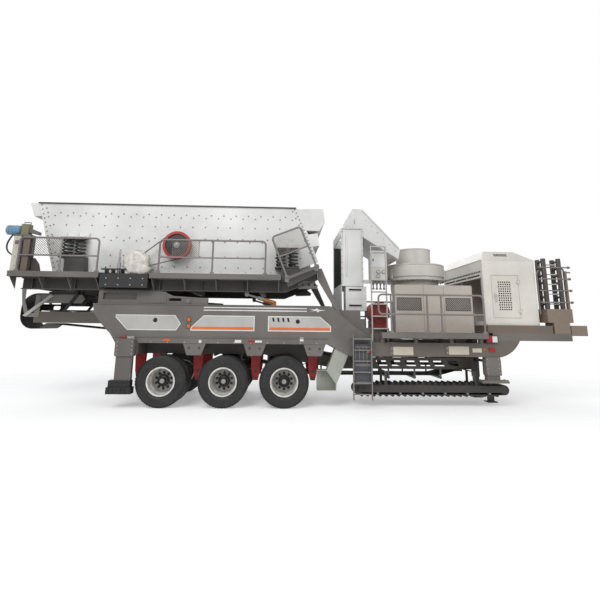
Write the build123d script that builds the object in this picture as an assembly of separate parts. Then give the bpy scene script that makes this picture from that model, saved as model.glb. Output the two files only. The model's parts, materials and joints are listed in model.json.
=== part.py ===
from build123d import *
import os
from math import atan2, cos, hypot, radians, sin, tan

# Mobile crushing and screening plant on a three-axle semi-trailer, transport position.
# Millimetres. +X runs from the folded belt at the rear to the gooseneck at the front,
# -Y is the side with the drive motors, +Z is up and the ground is Z = 0.

# Overall
overall_length = 13100
overall_width = 2900
x_rear = -overall_length / 2
x_front = overall_length / 2
seat_gap = 0.3  # between curved faces that seat on each other

# Running gear
axle_count = 3
axle_pitch = 1310
middle_axle_x = -1620
tyre_r = 535
tyre_w = 270
dual_pitch = 320
tyre_outer_y = 1270
bead_r = 286
rim_lip_r = 303
rim_t = 13
rim_inset = 22  # rim lip set in from the tyre wall
hub_r = 128
hub_cap_r = 62
spindle_r = 50
spindle_fit = 0.06
drum_r = 205
axle_beam_r = 72

# Chassis
girder_y = 1200  # outer face of the side girders
girder_flange_w = 150
web_t = 14
flange_t = 22
girder_top_z = 2170
girder_bottom_z = 1330
girder_rear_x = -4530
girder_front_x = 690
low_top_z = 1390
low_bottom_z = 1090
low_front_x = 4500
neck_bottom_z = 1450
neck_top_z = 1620
neck_front_x = 6180
panel_depth = 5
kingpin_x = 5330
kingpin_collar_r = 36.5
kingpin_r = 35.7
kingpin_flange = 12.7
kingpin_neck_r = 25.4
kingpin_len = 84
coupler_t = 12

# Jacks and landing legs
jack_rear_x = -3700
jack_front_x = 4300
jack_rear_y = 1290
jack_front_y = 1150
leg_gap = 0.6
sleeve_d = 150
sleeve_wall = 20
leg_d = 100
rear_leg_w = 340
front_leg_w = 290
rear_sleeve_z = 1060
front_sleeve_z = 700
rear_foot_z = 300
front_foot_z = 545
rear_foot_x = (-4000, -3490)
front_foot_w = 600
landing_leg_x = 4620
landing_leg_y = 350

# Main conveyor, head section folded back over the rear end
belt_t = 14
main_belt_w = 800
main_frame_y = 500  # inner edge of the side frames
main_frame_t = 40
flat_z = 890  # middle of the flat front section
rear_z = 1865  # middle of the level rear section
frame_h = 260
tail_pulley_r = 103
head_pulley_r = 122
flat_front_x = 4180
slope_front_x = 900
slope_rear_x = -4550

# Side conveyor under the front section
side_belt_w = 380
side_conv_y = -850
side_conv_half_w = 230
side_pulley_r = 95
side_rear_x = 1330
side_front_x = 4600
side_z = 370

# Screen
screen_y = 950
plate_t = 16
screen_bottom_z = 2870
screen_top_z = 4500
sub_top_z = 2710
sub_bottom_z = 2460
sub_flange_w = 140
sub_flange_t = 20
sub_web_t = 12
sub_y = 1130
sub_rear_x = x_rear + 430
ramp_deg = 22
ramp_x = -330
ramp_len = 740
sub_front_x = ramp_x + ramp_len

# Springs of the screen
spring_x_rear = -5130
spring_x_front = -290
coil_r = 118
coil_pitch = 290  # between the two coils of a corner
coil_y = 1080
coil_h = 445
seat_z = 3205
seat_front_z = 3040

# Drive of the screen
exciter_x = -2810
exciter_z = 3510
pulley_r = 320
pulley_w = 90
pulley_y = -1120
motor_x = -3640
motor_z = 3080
motor_r = 260
v_belt_t = 12
belt_clear = 6  # running gap between the belt and the pulley of the screen

# Crusher
crusher_x = 3000
bowl_r = 750
neck_r = 590
hopper_r = 430

# Walkways
deck_t = 120
deck_out_y = overall_width / 2
rail_r = 21
rail_h = 740

rear_deck = (x_rear + 260, -4380)
mid_deck = (-3280, -420)
crusher_deck = (1790, 4130)
deck_z = sub_top_z + deck_t
crusher_deck_z = 1610
y_sub_out = sub_y + sub_flange_w / 2
guard_x0, guard_x1, guard_z1 = 2230, 4060, 2700
rail_bend = 85
mast_x = rear_deck[0] + 10
mast_y0 = -deck_out_y + 50
mast_y1 = -deck_out_y + 240

# Power cabinet
cab_x0 = 4250
cab_x1 = 5500
cab_y = 1130
cab_z0 = 1790
cab_z1 = 3300
roof_z = 3520
door_t = 30
door_gap = 6
hinge_pin_r = 9

os.makedirs("parts", exist_ok=True)


# Helpers
def all_solids(item):
    if isinstance(item, (list, tuple)):
        return [x for sub in item for x in all_solids(sub)]
    return list(item.solids())


def save(name, *pieces):
    items = all_solids(pieces)
    export_step(items[0] if len(items) == 1 else Compound(children=items), f"parts/{name}.step")


def block(x0, x1, y0, y1, z0, z1):
    size = (abs(x1 - x0), abs(y1 - y0), abs(z1 - z0))
    return Pos((x0 + x1) / 2, (y0 + y1) / 2, (z0 + z1) / 2) * Box(*size)


def slab(points, y0, y1):
    """Side-view outline in X and Z, given thickness from y0 to y1."""
    face = make_face(Polyline(*[(x, 0, z) for x, z in points], close=True))
    return thicken_y(face, y0, y1)


def thicken_y(face, y0, y1):
    lo, hi = min(y0, y1), max(y0, y1)
    return Pos(0, lo, 0) * extrude(face, amount=hi - lo, dir=(0, 1, 0))


def end_slab(points, x0, x1):
    """End-view outline in Y and Z, given thickness from x0 to x1."""
    face = make_face(Polyline(*[(0, y, z) for y, z in points], close=True))
    return Pos(min(x0, x1), 0, 0) * extrude(face, amount=abs(x1 - x0), dir=(1, 0, 0))


def rod(a, b, r):
    """Round bar between two points."""
    ax = Vector(*b) - Vector(*a)
    return Plane(origin=a, z_dir=ax) * Pos(0, 0, ax.length / 2) * Cylinder(r, ax.length)


def disc_y(x, z, r, y0, y1):
    lo, hi = min(y0, y1), max(y0, y1)
    return Pos(x, (lo + hi) / 2, z) * Rot(90, 0, 0) * Cylinder(r, hi - lo)


def turned_y(x, z, outline):
    """Outline in radius and Y, turned about the Y line through x, z."""
    face = make_face(Polyline(*[(r, y, 0) for r, y in outline], close=True))
    return Pos(x, 0, z) * revolve(face, Axis.Y)


def turned_z(x, y, outline):
    face = make_face(Polyline(*[(r, 0, z) for r, z in outline], close=True))
    return Pos(x, y, 0) * revolve(face, Axis.Z)


def far(s):
    return mirror(s, about=Plane.XZ)


def both(s):
    return [s, far(s)]


def fuse(parts):
    out = parts[0]
    for p in parts[1:]:
        out = out + p
    return out


axle_xs = [middle_axle_x + axle_pitch * (i - 1) for i in range(axle_count)]
outer_tyre_y = tyre_outer_y - tyre_w / 2
inner_tyre_y = outer_tyre_y - dual_pitch
dual_plane_y = (outer_tyre_y + inner_tyre_y) / 2


# Wheels
def tyre(x, y_mid):
    half = tyre_w / 2
    r0 = bead_r + seat_gap
    bead_y = -half + rim_inset + rim_t + seat_gap
    outline = [(r0, bead_y), (rim_lip_r + seat_gap, bead_y), (rim_lip_r + 14, -half + rim_inset),
               (r0 + 110, -half), (tyre_r - 60, -half + 8), (tyre_r - 12, -half + 26), (tyre_r, -half + 40)]
    outline += [(r, -y) for r, y in reversed(outline)]
    return Pos(0, y_mid, 0) * turned_y(x, tyre_r, outline)


def wheel_end():
    """Two deep-dish rims back to back on one hub and brake drum, at X = 0 on the +Y side."""
    x = 0

    def rim(y_mid, disc_dir):
        half = tyre_w / 2 - rim_inset
        lip = rim_t
        face_y = dual_plane_y + disc_dir * rim_t / 2
        outline = [(bead_r - rim_t, y_mid - half), (rim_lip_r, y_mid - half), (rim_lip_r, y_mid - half + lip),
                   (bead_r, y_mid - half + lip), (bead_r, y_mid + half - lip),
                   (rim_lip_r, y_mid + half - lip), (rim_lip_r, y_mid + half), (bead_r - rim_t, y_mid + half)]
        barrel = turned_y(x, tyre_r, outline)
        y_edge = y_mid - disc_dir * (half - 40)
        dish = [(hub_r - 10, face_y - rim_t / 2), (215, face_y - rim_t / 2),
                (bead_r - rim_t / 2, y_edge - rim_t / 2),
                (bead_r - rim_t / 2, y_edge + rim_t / 2), (215, face_y + rim_t / 2),
                (hub_r - 10, face_y + rim_t / 2)]
        return barrel + turned_y(x, tyre_r, dish)

    hub_end = dual_plane_y + 150
    hub = [(spindle_r + spindle_fit, dual_plane_y - 180), (drum_r - 60, dual_plane_y - 180),
           (drum_r - 60, dual_plane_y - 14), (hub_r, dual_plane_y - 14), (hub_r, dual_plane_y + 60),
           (hub_r - 34, dual_plane_y + 82), (hub_cap_r + 12, dual_plane_y + 90),
           (hub_cap_r, hub_end - 12), (hub_cap_r - 10, hub_end), (0, hub_end),
           (0, dual_plane_y + 110), (spindle_r + spindle_fit, dual_plane_y + 110)]
    drum = [(drum_r - 16, dual_plane_y - 270), (drum_r, dual_plane_y - 270), (drum_r, dual_plane_y - 40),
            (hub_r, dual_plane_y - 20), (hub_r - 10, dual_plane_y - 36), (drum_r - 16, dual_plane_y - 56)]
    s = rim(outer_tyre_y, 1) + rim(inner_tyre_y, -1) + turned_y(x, tyre_r, hub) + turned_y(x, tyre_r, drum)
    return s


far_wheel = wheel_end()
near_wheel = far(far_wheel)
for i, ax in enumerate(axle_xs, 1):
    for side, word in ((-1, "near"), (1, "far")):
        save(f"tyres_{word}_{i}", tyre(ax, side * outer_tyre_y), tyre(ax, side * inner_tyre_y))
        save(f"wheel_{word}_{i}", Pos(ax, 0, 0) * (near_wheel if side < 0 else far_wheel))

# Axles with brake plates
spindle_end = dual_plane_y + 100


def axle(x):
    beam_end = dual_plane_y - 300
    s = disc_y(x, tyre_r, axle_beam_r, -beam_end, beam_end)
    s = s + disc_y(x, tyre_r, spindle_r, -spindle_end, spindle_end)
    for side in (-1, 1):
        s = s + disc_y(x, tyre_r, drum_r - 22, side * (beam_end - 12), side * beam_end)
    return s


save("axles", [axle(x) for x in axle_xs])

# Leaf springs seated on the axles, between hangers
spring_y = 610
spring_w = 76
spring_rise = 95
hanger_xs = [ax + axle_pitch / 2 * d for ax, d in ((axle_xs[0], -1), (axle_xs[0], 1), (axle_xs[1], 1),
                                                   (axle_xs[2], 1))]
pack_h = 78
spring_base_z = tyre_r + axle_beam_r


def leaf_spring(x):
    reach = axle_pitch / 2 - 62
    leaves = []
    for k in range(4):
        half = reach * (1 - 0.2 * k)
        z0 = spring_base_z + pack_h - 26 - (k + 1) * 13 + 26
        drop = spring_rise * ((1 - 0.2 * k) ** 2)
        face = make_face(ThreePointArc((-half, 0, z0 + drop), (0, 0, z0), (half, 0, z0 + drop))
                         + Line((half, 0, z0 + drop), (half, 0, z0 + drop + 13))
                         + ThreePointArc((half, 0, z0 + drop + 13), (0, 0, z0 + 13),
                                         (-half, 0, z0 + drop + 13))
                         + Line((-half, 0, z0 + drop + 13), (-half, 0, z0 + drop)))
        leaves.append(thicken_y(face, -spring_w / 2, spring_w / 2))
    s = fuse(leaves)
    seat = block(-70, 70, -spring_w / 2 - 10, spring_w / 2 + 10, spring_base_z - 40, spring_base_z + 27)
    seat = seat - Pos(0, 0, tyre_r) * Rot(90, 0, 0) * Cylinder(axle_beam_r + seat_gap, 400)
    return Pos(x, 0, 0) * (s + seat)


save("leaf_springs", [both(Pos(0, -spring_y, 0) * leaf_spring(x)) for x in axle_xs])


# Grey hanger brackets under the girders, and the red rocker hangers that hold the springs
hanger_foot_z = girder_bottom_z - 250
rail_beam_y0, rail_beam_y1 = 555, 670  # beams along the springs


def hanger_bracket(x):
    top, bot, y = 245, 155, -girder_y + 10
    plate = [(x - top, girder_bottom_z), (x + top, girder_bottom_z), (x + bot, hanger_foot_z),
             (x - bot, hanger_foot_z)]
    return slab(plate, y, y + 24) + block(x - 14, x + 14, y + 20, -rail_beam_y1, hanger_foot_z,
                                          girder_bottom_z)


save("hanger_brackets", [both(hanger_bracket(x)) for x in hanger_xs[1:]])

rocker_z = spring_base_z + pack_h + 13


def red_hanger(x):
    y0, y1 = -spring_y - 52, -spring_y + 52
    top = hanger_foot_z
    w, foot = 115, 505
    cheek = [(x - w, top), (x + w, top), (x + w - 20, rocker_z), (x + 55, foot), (x - 55, foot),
             (x - w + 20, rocker_z)]
    s = slab(cheek, y0, y0 + 14) + slab(cheek, y1 - 14, y1)
    s = s + block(x - w, x + w, y0, y1, top - 16, top) + disc_y(x, foot + 45, 26, y0, y1)
    return s + disc_y(x, rocker_z + 10, 26, y0, y1)


save("red_hangers", [both(red_hanger(x)) for x in hanger_xs])


# Side girders: deep plated side members with recessed panels
def girder():
    outline = (
        Line((girder_rear_x, 0, girder_top_z), (girder_rear_x + 50, 0, girder_top_z - 210))
        + ThreePointArc((girder_rear_x + 50, 0, girder_top_z - 210),
                        (girder_rear_x + 200, 0, girder_top_z - 410),
                        (girder_rear_x + 430, 0, girder_top_z - 640))
        + Line((girder_rear_x + 430, 0, girder_top_z - 640), (girder_rear_x + 560, 0, girder_bottom_z))
        + Line((girder_rear_x + 560, 0, girder_bottom_z), (girder_front_x - 50, 0, girder_bottom_z))
        + Line((girder_front_x - 50, 0, girder_bottom_z), (low_start_x, 0, low_bottom_z))
        + Line((low_start_x, 0, low_bottom_z), (low_joint_x, 0, low_bottom_z))
        + Line((low_joint_x, 0, low_bottom_z), (low_joint_x, 0, low_top_z))
        + Line((low_joint_x, 0, low_top_z), (low_joint_x - 70, 0, low_top_z + 70))
        + Line((low_joint_x - 70, 0, low_top_z + 70), (girder_front_x, 0, girder_top_z))
        + Line((girder_front_x, 0, girder_top_z), (girder_rear_x, 0, girder_top_z))
    )
    face = make_face(outline)
    body = thicken_y(face, -girder_y, -girder_y + girder_flange_w)
    inside = thicken_y(offset(face, amount=-flange_t), -girder_y + web_t, -girder_y + girder_flange_w + 1)
    s = body - inside
    z0, z1 = panel_z0, panel_z1
    for pts in panel_outlines(z0, z1):
        s = s - slab(pts, -girder_y - 1, -girder_y + panel_depth)
    for vx in vent_xs:
        s = s - slab([(vx, z1 - 35), (vx + 42, z1 - 35), (vx + 60, z1 - 125), (vx + 18, z1 - 125)],
                     -girder_y - 1, -girder_y + web_t + 1)
    for hx in (girder_rear_x + 1380, girder_rear_x + 4500):
        s = s - disc_y(hx, z1 - 115, 48, -girder_y - 1, -girder_y + web_t + 1)
    for rx in rib_xs:
        s = s + block(rx - 8, rx + 8, -girder_y + web_t, -girder_y + girder_flange_w,
                      girder_bottom_z + flange_t, girder_top_z - flange_t)
    return s


low_start_x = girder_front_x + 440
low_joint_x = girder_front_x + 950
panel_z0 = 1600
panel_z1 = 1935
vent_xs = [girder_front_x - 1290 + 110 * k for k in range(4)]
rib_xs = [girder_rear_x + 700 + 880 * k for k in range(6)]


def panel_outlines(z0, z1):
    a, b, c = girder_rear_x + 520, girder_rear_x + 2150, girder_front_x - 1380
    return [
        [(a, z1), (a + 1290, z1), (a + 1420, z0 + 150), (a + 1330, z0), (a + 270, z0), (a, z0 + 270)],
        [(b + 280, z1), (b + 1400, z1), (b + 1400, z0), (b, z0), (b, z0 + 70)],
        [(c, z1), (c + 1160, z1), (c + 1400, z0 + 125), (c + 1400, z0), (c, z0)],
    ]


save("side_girders", both(girder()))


# Low side beams with the curved gusset up to the gooseneck
def low_beam():
    gx = low_front_x
    outline = (
        Line((low_joint_x, 0, low_bottom_z), (gx, 0, low_bottom_z))
        + ThreePointArc((gx, 0, low_bottom_z), (gx + 275, 0, low_bottom_z + 130),
                        (gx + 460, 0, neck_bottom_z))
        + Line((gx + 460, 0, neck_bottom_z), (gx - 150, 0, neck_bottom_z))
        + Line((gx - 150, 0, neck_bottom_z), (gx - 150, 0, low_top_z))
        + Line((gx - 150, 0, low_top_z), (low_joint_x, 0, low_top_z))
        + Line((low_joint_x, 0, low_top_z), (low_joint_x, 0, low_bottom_z))
    )
    face = make_face(outline)
    body = thicken_y(face, -girder_y, -girder_y + girder_flange_w)
    return body - thicken_y(offset(face, amount=-flange_t), -girder_y + web_t,
                            -girder_y + girder_flange_w + 1)


save("low_beams", both(low_beam()))


# Cross members between the girders, clear of the belt
slope = atan2(rear_z - flat_z, slope_front_x - slope_rear_x)


def frame_mid_z(x):
    """Height of the middle of the main conveyor frame at X."""
    if x > slope_front_x:
        return flat_z
    return min(rear_z, flat_z + (slope_front_x - x) * tan(slope))


def cross_member(x, z0, z1, hang=True):
    """Beam between the side webs, with straps down to the conveyor side frames."""
    y = girder_y - web_t
    s = block(x - 60, x + 60, -y, y, z0, z1)
    if hang:
        a, b = x - 30, x + 30
        pts = [(a, frame_mid_z(a) + frame_h / 2), (b, frame_mid_z(b) + frame_h / 2), (b, z0 + 1), (a, z0 + 1)]
        strap = slab(pts, -main_frame_y - main_frame_t, -main_frame_y)
        s = s + strap + far(strap)
    return s


def crusher_base(side):
    """Cross beam over the low beams, with a pad that carries the crusher."""
    x = crusher_x + side * 620
    y = girder_y - girder_flange_w + 60
    return (block(x - 90, x + 90, -y, y, low_top_z, crusher_z0)
            + block(x - side * 140, x + side * 140, -200, 200, low_top_z, crusher_z0))


crusher_z0 = low_top_z + 60
rail_beam_x0, rail_beam_x1 = -3480, 600
stool_z = 1500
stool_front_z = low_top_z - flange_t
cross_xs = (-4180, -3400, -1630, -750, 300)
low_cross_xs = (1900, 4050)
save("cross_members",
     [cross_member(x, girder_top_z - 140, girder_top_z - flange_t,
                   hang=x not in (-3400, -750)) for x in cross_xs],
     cross_member(910, stool_z - 140, stool_z, hang=False),
     [cross_member(x, low_bottom_z + 110, stool_front_z) for x in low_cross_xs],
     both(block(rail_beam_x0, rail_beam_x1, rail_beam_y0, rail_beam_y1, hanger_foot_z, girder_bottom_z)),
     [crusher_base(side) for side in (-1, 1)])


# Gooseneck: two beams, cross beams, coupler plate with kingpin
def gooseneck():
    x0 = low_front_x - 150
    beam = block(x0, neck_front_x, -girder_y, -girder_y + girder_flange_w, neck_bottom_z, neck_top_z)
    hollow = block(x0 - 1, neck_front_x - web_t, -girder_y + web_t, -girder_y + girder_flange_w + 1,
                   neck_bottom_z + flange_t, neck_top_z - flange_t)
    s = beam - hollow
    s = s + far(beam - hollow)
    yi = girder_y - girder_flange_w
    for x in (x0, landing_leg_x - 60, neck_front_x - 120):
        s = s + block(x, x + 120, -yi - 40, yi + 40, neck_bottom_z, neck_top_z)
    s = s + block(kingpin_x - 420, neck_front_x - 60, -560, 560, neck_bottom_z, neck_bottom_z + coupler_t)
    for y in (-560, 546):
        s = s + block(x0 + 60, neck_front_x - 60, y, y + 14, neck_bottom_z, neck_top_z)
    for y in (-girder_y, yi):
        s = s + block(cab_x0, cab_x1 + 250, y, y + girder_flange_w, neck_top_z, cab_z0)
    z = neck_bottom_z
    low = z - kingpin_len
    pin = [(0, z + coupler_t), (kingpin_collar_r, z + coupler_t), (kingpin_collar_r, z - 36),
           (kingpin_neck_r, z - 36),
           (kingpin_neck_r, low + kingpin_flange), (kingpin_r, low + kingpin_flange), (kingpin_r, low), (0,
                                                                                                         low)]
    return s + turned_z(kingpin_x, 0, pin)


save("gooseneck", gooseneck())

# Jacks: fixed sleeves on the chassis, sliding legs with a wide foot
def sleeve(x, y, z_top, z_bot, leg_w):
    w = leg_w + 2 * sleeve_wall
    outer = block(x - w / 2, x + w / 2, -y - sleeve_d / 2, -y + sleeve_d / 2, z_bot, z_top)
    bore = block(x - leg_w / 2 - leg_gap, x + leg_w / 2 + leg_gap, -y - leg_d / 2 - leg_gap,
                 -y + leg_d / 2 + leg_gap, z_bot - 1, z_top - 20)
    return outer - bore


def leg(x, y, w, z_bot, z_top):
    return block(x - w / 2, x + w / 2, -y - leg_d / 2, -y + leg_d / 2, z_bot, z_top)


def rear_leg():
    """Sliding leg on a foot of two steps."""
    step, y0, y1 = 135, -jack_rear_y - 100, -jack_rear_y + 100
    x0, x1 = rear_foot_x
    s = leg(jack_rear_x, jack_rear_y, rear_leg_w, rear_foot_z + step, girder_bottom_z + 55)
    s = s + block(x0, x1, y0, y1, rear_foot_z, rear_foot_z + step)
    return s + block(x0 + 30, x1 - 30, y0 + 20, y1 - 20, rear_foot_z + step, rear_foot_z + 2 * step)


def front_leg():
    """Sliding leg on a flat foot that stands clear of the side conveyor."""
    z, y = front_foot_z, -jack_front_y
    inner, outer, bevel = y + 60, y - 140, 30
    pad = [(outer, z), (inner, z), (inner, z + 22), (inner - bevel, z + 60), (outer + bevel, z + 60),
           (outer, z + 22)]
    s = end_slab(pad, jack_front_x - front_foot_w / 2, jack_front_x + front_foot_w / 2)
    return s + leg(jack_front_x, jack_front_y, front_leg_w, z + 40, low_bottom_z - 25)


rear_sleeve = sleeve(jack_rear_x, jack_rear_y, girder_bottom_z + 80, rear_sleeve_z, rear_leg_w)
rear_half = rear_leg_w / 2 + sleeve_wall
sleeve_in_y = -jack_rear_y + sleeve_d / 2
rear_sleeve = rear_sleeve + block(jack_rear_x - rear_half, jack_rear_x + rear_half, sleeve_in_y, -girder_y,
                                  girder_bottom_z, girder_bottom_z + 80)
rear_sleeve = rear_sleeve + block(jack_rear_x - rear_half, rail_beam_x0, sleeve_in_y, -rail_beam_y0,
                                  hanger_foot_z, girder_bottom_z)
front_sleeve = sleeve(jack_front_x, jack_front_y, low_bottom_z, front_sleeve_z, front_leg_w)
save("jack_sleeves", both(rear_sleeve), both(front_sleeve))
for word, turn in (("near", lambda s: s), ("far", far)):
    save(f"jack_leg_rear_{word}", turn(rear_leg()))
    save(f"jack_leg_front_{word}", turn(front_leg()))


# Landing legs under the gooseneck
def landing_leg():
    x, y, w = landing_leg_x, -landing_leg_y, 150
    s = block(x - w / 2, x + w / 2, y - w / 2, y + w / 2, 500, neck_bottom_z)
    s = s + block(x - w / 2 + 15, x + w / 2 - 15, y - w / 2 + 15, y + w / 2 - 15, 20, 500)
    s = s + block(x - 115, x + 115, y - 110, y + 110, 0, 22)
    return s


save("landing_legs", landing_leg() + far(landing_leg())
     + block(landing_leg_x - 30, landing_leg_x + 30, -landing_leg_y, landing_leg_y, 900, 960))


# Main conveyor: side frames follow flat, sloped and level parts
def strip(points, half):
    """Band of constant height along a bent line."""
    up = [(x, z + half) for x, z in points]
    down = [(x, z - half) for x, z in reversed(points)]
    return up + down


main_line = [(flat_front_x, flat_z), (slope_front_x, flat_z), (slope_rear_x, rear_z), (x_rear + 400, rear_z)]


def main_frame_side():
    y0 = -main_frame_y - main_frame_t
    s = slab(strip(main_line, frame_h / 2), y0, y0 + 12)
    s = s + slab(strip([(x, z + frame_h / 2 - 8) for x, z in main_line], 8), y0, y0 + main_frame_t)
    s = s + slab(strip([(x, z - frame_h / 2 + 8) for x, z in main_line], 8), y0, y0 + main_frame_t)
    for k in range(6):
        x = flat_front_x - 2340 + 340 * k
        s = s - slab([(x, flat_z + 62), (x + 230, flat_z + 62), (x + 275, flat_z - 62),
                      (x + 45, flat_z - 62)],
                     y0 - 1, y0 + 13)
    return s


def main_cross_bars():
    out = []
    y = main_frame_y + main_frame_t - 10
    for x in (flat_front_x - 350, flat_front_x - 1580, slope_front_x + 150, -900, -2700, slope_rear_x + 100,
              x_rear + 650):
        out.append(block(x - 30, x + 30, -y, y, frame_mid_z(x) - 118, frame_mid_z(x) - 66))
    return out


main_frame = fuse([main_frame_side(), far(main_frame_side())] + main_cross_bars())
save("main_conveyor_frame", main_frame)

# Folded head section and its pulley
head_z = 2290
head_x0 = x_rear + 420
head_x1 = x_rear + 1450
fold_r = 360


def head_frame():
    y0 = -main_frame_y - main_frame_t
    side_plate = slab([(head_x0, head_z + 100), (head_x1, head_z + 100), (head_x1 + 80, head_z),
                       (head_x1, head_z - 100),
                       (head_x0, head_z - 100)], y0, y0 + 12)
    link = slab([(head_x0 - 20, rear_z), (head_x0 + 100, rear_z), (head_x0 + 100, head_z + 90),
                 (head_x0 - 20, head_z + 90)],
                y0 - 14, y0)
    curve = [(x_rear + 54, head_z + 240), (x_rear + 102, head_z - 110), (x_rear + 165, rear_z + 110),
             (x_rear + 249, rear_z), (head_x0 + 40, rear_z), (head_x0 + 40, rear_z + 90), (x_rear + 304,
                                                                                           rear_z + 90),
             (x_rear + 253, rear_z + 135), (x_rear + 161, head_z - 40), (x_rear + 157, head_z + 240)]
    s = side_plate + link + slab(curve, y0 - 14, y0)
    s = s + far(s)
    bar = block(head_x0 + 60, head_x0 + 120, y0 + 12, -y0 - 12, head_z - 50, head_z + 50)
    return s + bar + disc_y(head_x1 - 40, head_z, 30, y0, -y0)


save("head_section_frame", head_frame())
head_pulley = disc_y(head_x1 - 40, head_z, head_pulley_r, -main_belt_w / 2 - 20, main_belt_w / 2 + 20)
head_pulley = head_pulley - disc_y(head_x1 - 40, head_z, 30 + seat_gap, -700, 700)


# Belts: one closed loop each
def loop_belt(points, radii, y0, y1):
    """Closed belt along the given corner points, each rounded by its own radius."""
    n = len(points)
    edges = []
    ends = []
    for i, (p, r) in enumerate(zip(points, radii)):
        a, b = points[i - 1], points[(i + 1) % n]
        u = (Vector(a[0] - p[0], 0, a[1] - p[1])).normalized()
        v = (Vector(b[0] - p[0], 0, b[1] - p[1])).normalized()
        ang = u.get_angle(v)
        d = r / tan(radians(ang) / 2)
        pv = Vector(p[0], 0, p[1])
        m = (u + v).normalized()
        mid = pv + m * (r / sin(radians(ang) / 2) - r)
        ends.append((pv + u * d, mid, pv + v * d))
    for i, (s0, mid, s1) in enumerate(ends):
        edges.append(ThreePointArc(s0, mid, s1))
        nxt = ends[(i + 1) % n][0]
        edges.append(Line(s1, nxt))
    face = make_face(fuse(edges))
    outer = offset(face, amount=belt_t / 2)
    inner = offset(face, amount=-belt_t / 2)
    return thicken_y(outer, y0, y1) - thicken_y(inner, y0 - 1, y1 + 1)


top_z = frame_h / 2 + 35
low_off = frame_h / 2 + 190
tail_rr = tail_pulley_r + seat_gap + belt_t / 2
head_rr = head_pulley_r + seat_gap + belt_t / 2
tail_px, tail_pz = flat_front_x - 50, flat_z + top_z - tail_rr
main_loop = [
    (tail_px + tail_rr, flat_z + top_z), (slope_front_x, flat_z + top_z), (slope_rear_x, rear_z + top_z),
    (head_x0 - 120, rear_z + top_z), (head_x0 - 120, head_z - head_rr), (head_x1 - 40 + head_rr,
                                                                         head_z - head_rr),
    (head_x1 - 40 + head_rr, head_z + head_rr), (x_rear + belt_t / 2, head_z + head_rr),
    (x_rear + belt_t / 2, rear_z - 270), (x_rear + 470, rear_z - 262), (x_rear + 630, rear_z - 140),
    (slope_rear_x, rear_z - 260),
    (slope_front_x - 400, flat_z - low_off + 40), (flat_front_x - 800, flat_z - low_off + 40),
    (tail_px + tail_rr, tail_pz - tail_rr),
]
main_radii = [tail_rr - 0.01, 400, 400, 60, 40, head_rr - 0.01, head_rr - 0.01, fold_r, 300, 120, 120,
              600, 600, 500, tail_rr - 0.01]
save("main_belt", loop_belt(main_loop, main_radii, -main_belt_w / 2, main_belt_w / 2))
tail_pulley = disc_y(tail_px, tail_pz, tail_pulley_r, -main_belt_w / 2, main_belt_w / 2)
tail_pulley = tail_pulley + disc_y(tail_px, tail_pz, 28, -main_frame_y - main_frame_t + 12,
                                   main_frame_y + main_frame_t - 12)


# Side conveyor hung under the front section
def side_frame():
    y0, y1 = side_conv_y - side_conv_half_w, side_conv_y + side_conv_half_w
    s = None
    for y, t in ((y0, 8), (y1 - 8, 8)):
        rail = block(side_rear_x, side_front_x, y, y + t, side_z - 50, side_z + 95)
        s = rail if s is None else s + rail
        for z in (side_z + 83, side_z - 50):
            lip = (y, y + 40) if y == y0 else (y + t - 40, y + t)
            s = s + block(side_rear_x, side_front_x, lip[0], lip[1], z, z + 12)
    for x in (side_rear_x + 250, (side_rear_x + side_front_x) / 2, side_front_x - 500):
        s = s + block(x - 25, x + 25, y0 + 8, y1 - 8, side_z - 20, side_z + 20)
    for x in (side_rear_x + 600, side_front_x - 650):
        s = s + block(x - 30, x + 30, y0, y0 + 8, side_z + 50, flat_z - frame_h / 2)
        s = s + block(x - 30, x + 30, y0, -main_frame_y, flat_z - frame_h / 2 - 12, flat_z - frame_h / 2)
        s = s + block(x - 30, x + 30, y1 - 8, y1, side_z + 50, flat_z - frame_h / 2 - 6)
    for x in (side_rear_x, side_front_x):
        s = s + disc_y(x, side_z, 22, y0, y1)
    return s


save("side_conveyor_frame", side_frame())
side_ys = (side_conv_y - side_belt_w / 2, side_conv_y + side_belt_w / 2)
side_pulleys = [disc_y(x, side_z, side_pulley_r, *side_ys)
                - disc_y(x, side_z, 22 + seat_gap, side_ys[0] - 1, side_ys[1] + 1)
                for x in (side_rear_x, side_front_x)]
save("belt_pulleys", head_pulley, tail_pulley, side_pulleys)
rr = side_pulley_r + seat_gap + belt_t / 2
side_loop = [(side_rear_x - rr, side_z - rr), (side_front_x + rr, side_z - rr),
             (side_front_x + rr, side_z + rr), (side_rear_x - rr, side_z + rr)]
save("side_belt", loop_belt(side_loop, [rr - 0.01] * 4, *side_ys))


# Screen subframe: beams, raised front ramp, cross beams and posts
ramp_rise = ramp_len * tan(radians(ramp_deg))
sub_flat = ramp_x - sub_rear_x


def sub_beam():
    """I-section beam with its front end bent up."""
    y0 = -sub_y - sub_flange_w / 2
    half_flange = sub_flange_t / 2

    def along(z):
        return [(sub_rear_x, z), (ramp_x, z), (sub_front_x, z + ramp_rise)]

    s = slab(strip(along((sub_top_z + sub_bottom_z) / 2), (sub_top_z - sub_bottom_z) / 2 - half_flange),
             -sub_y - sub_web_t / 2, -sub_y + sub_web_t / 2)
    for z in (sub_top_z - half_flange, sub_bottom_z + half_flange):
        s = s + slab(strip(along(z), half_flange), y0, y0 + sub_flange_w)
    for x in [sub_rear_x + sub_flat * (0.04 + 0.16 * k) for k in range(6)]:
        s = s + block(x - 8, x + 8, y0, y0 + sub_flange_w, sub_bottom_z + half_flange,
                      sub_top_z - half_flange)
    return s


def subframe_side():
    return sub_beam() + seat(spring_x_rear, seat_z) + seat(spring_x_front, seat_front_z)


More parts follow.
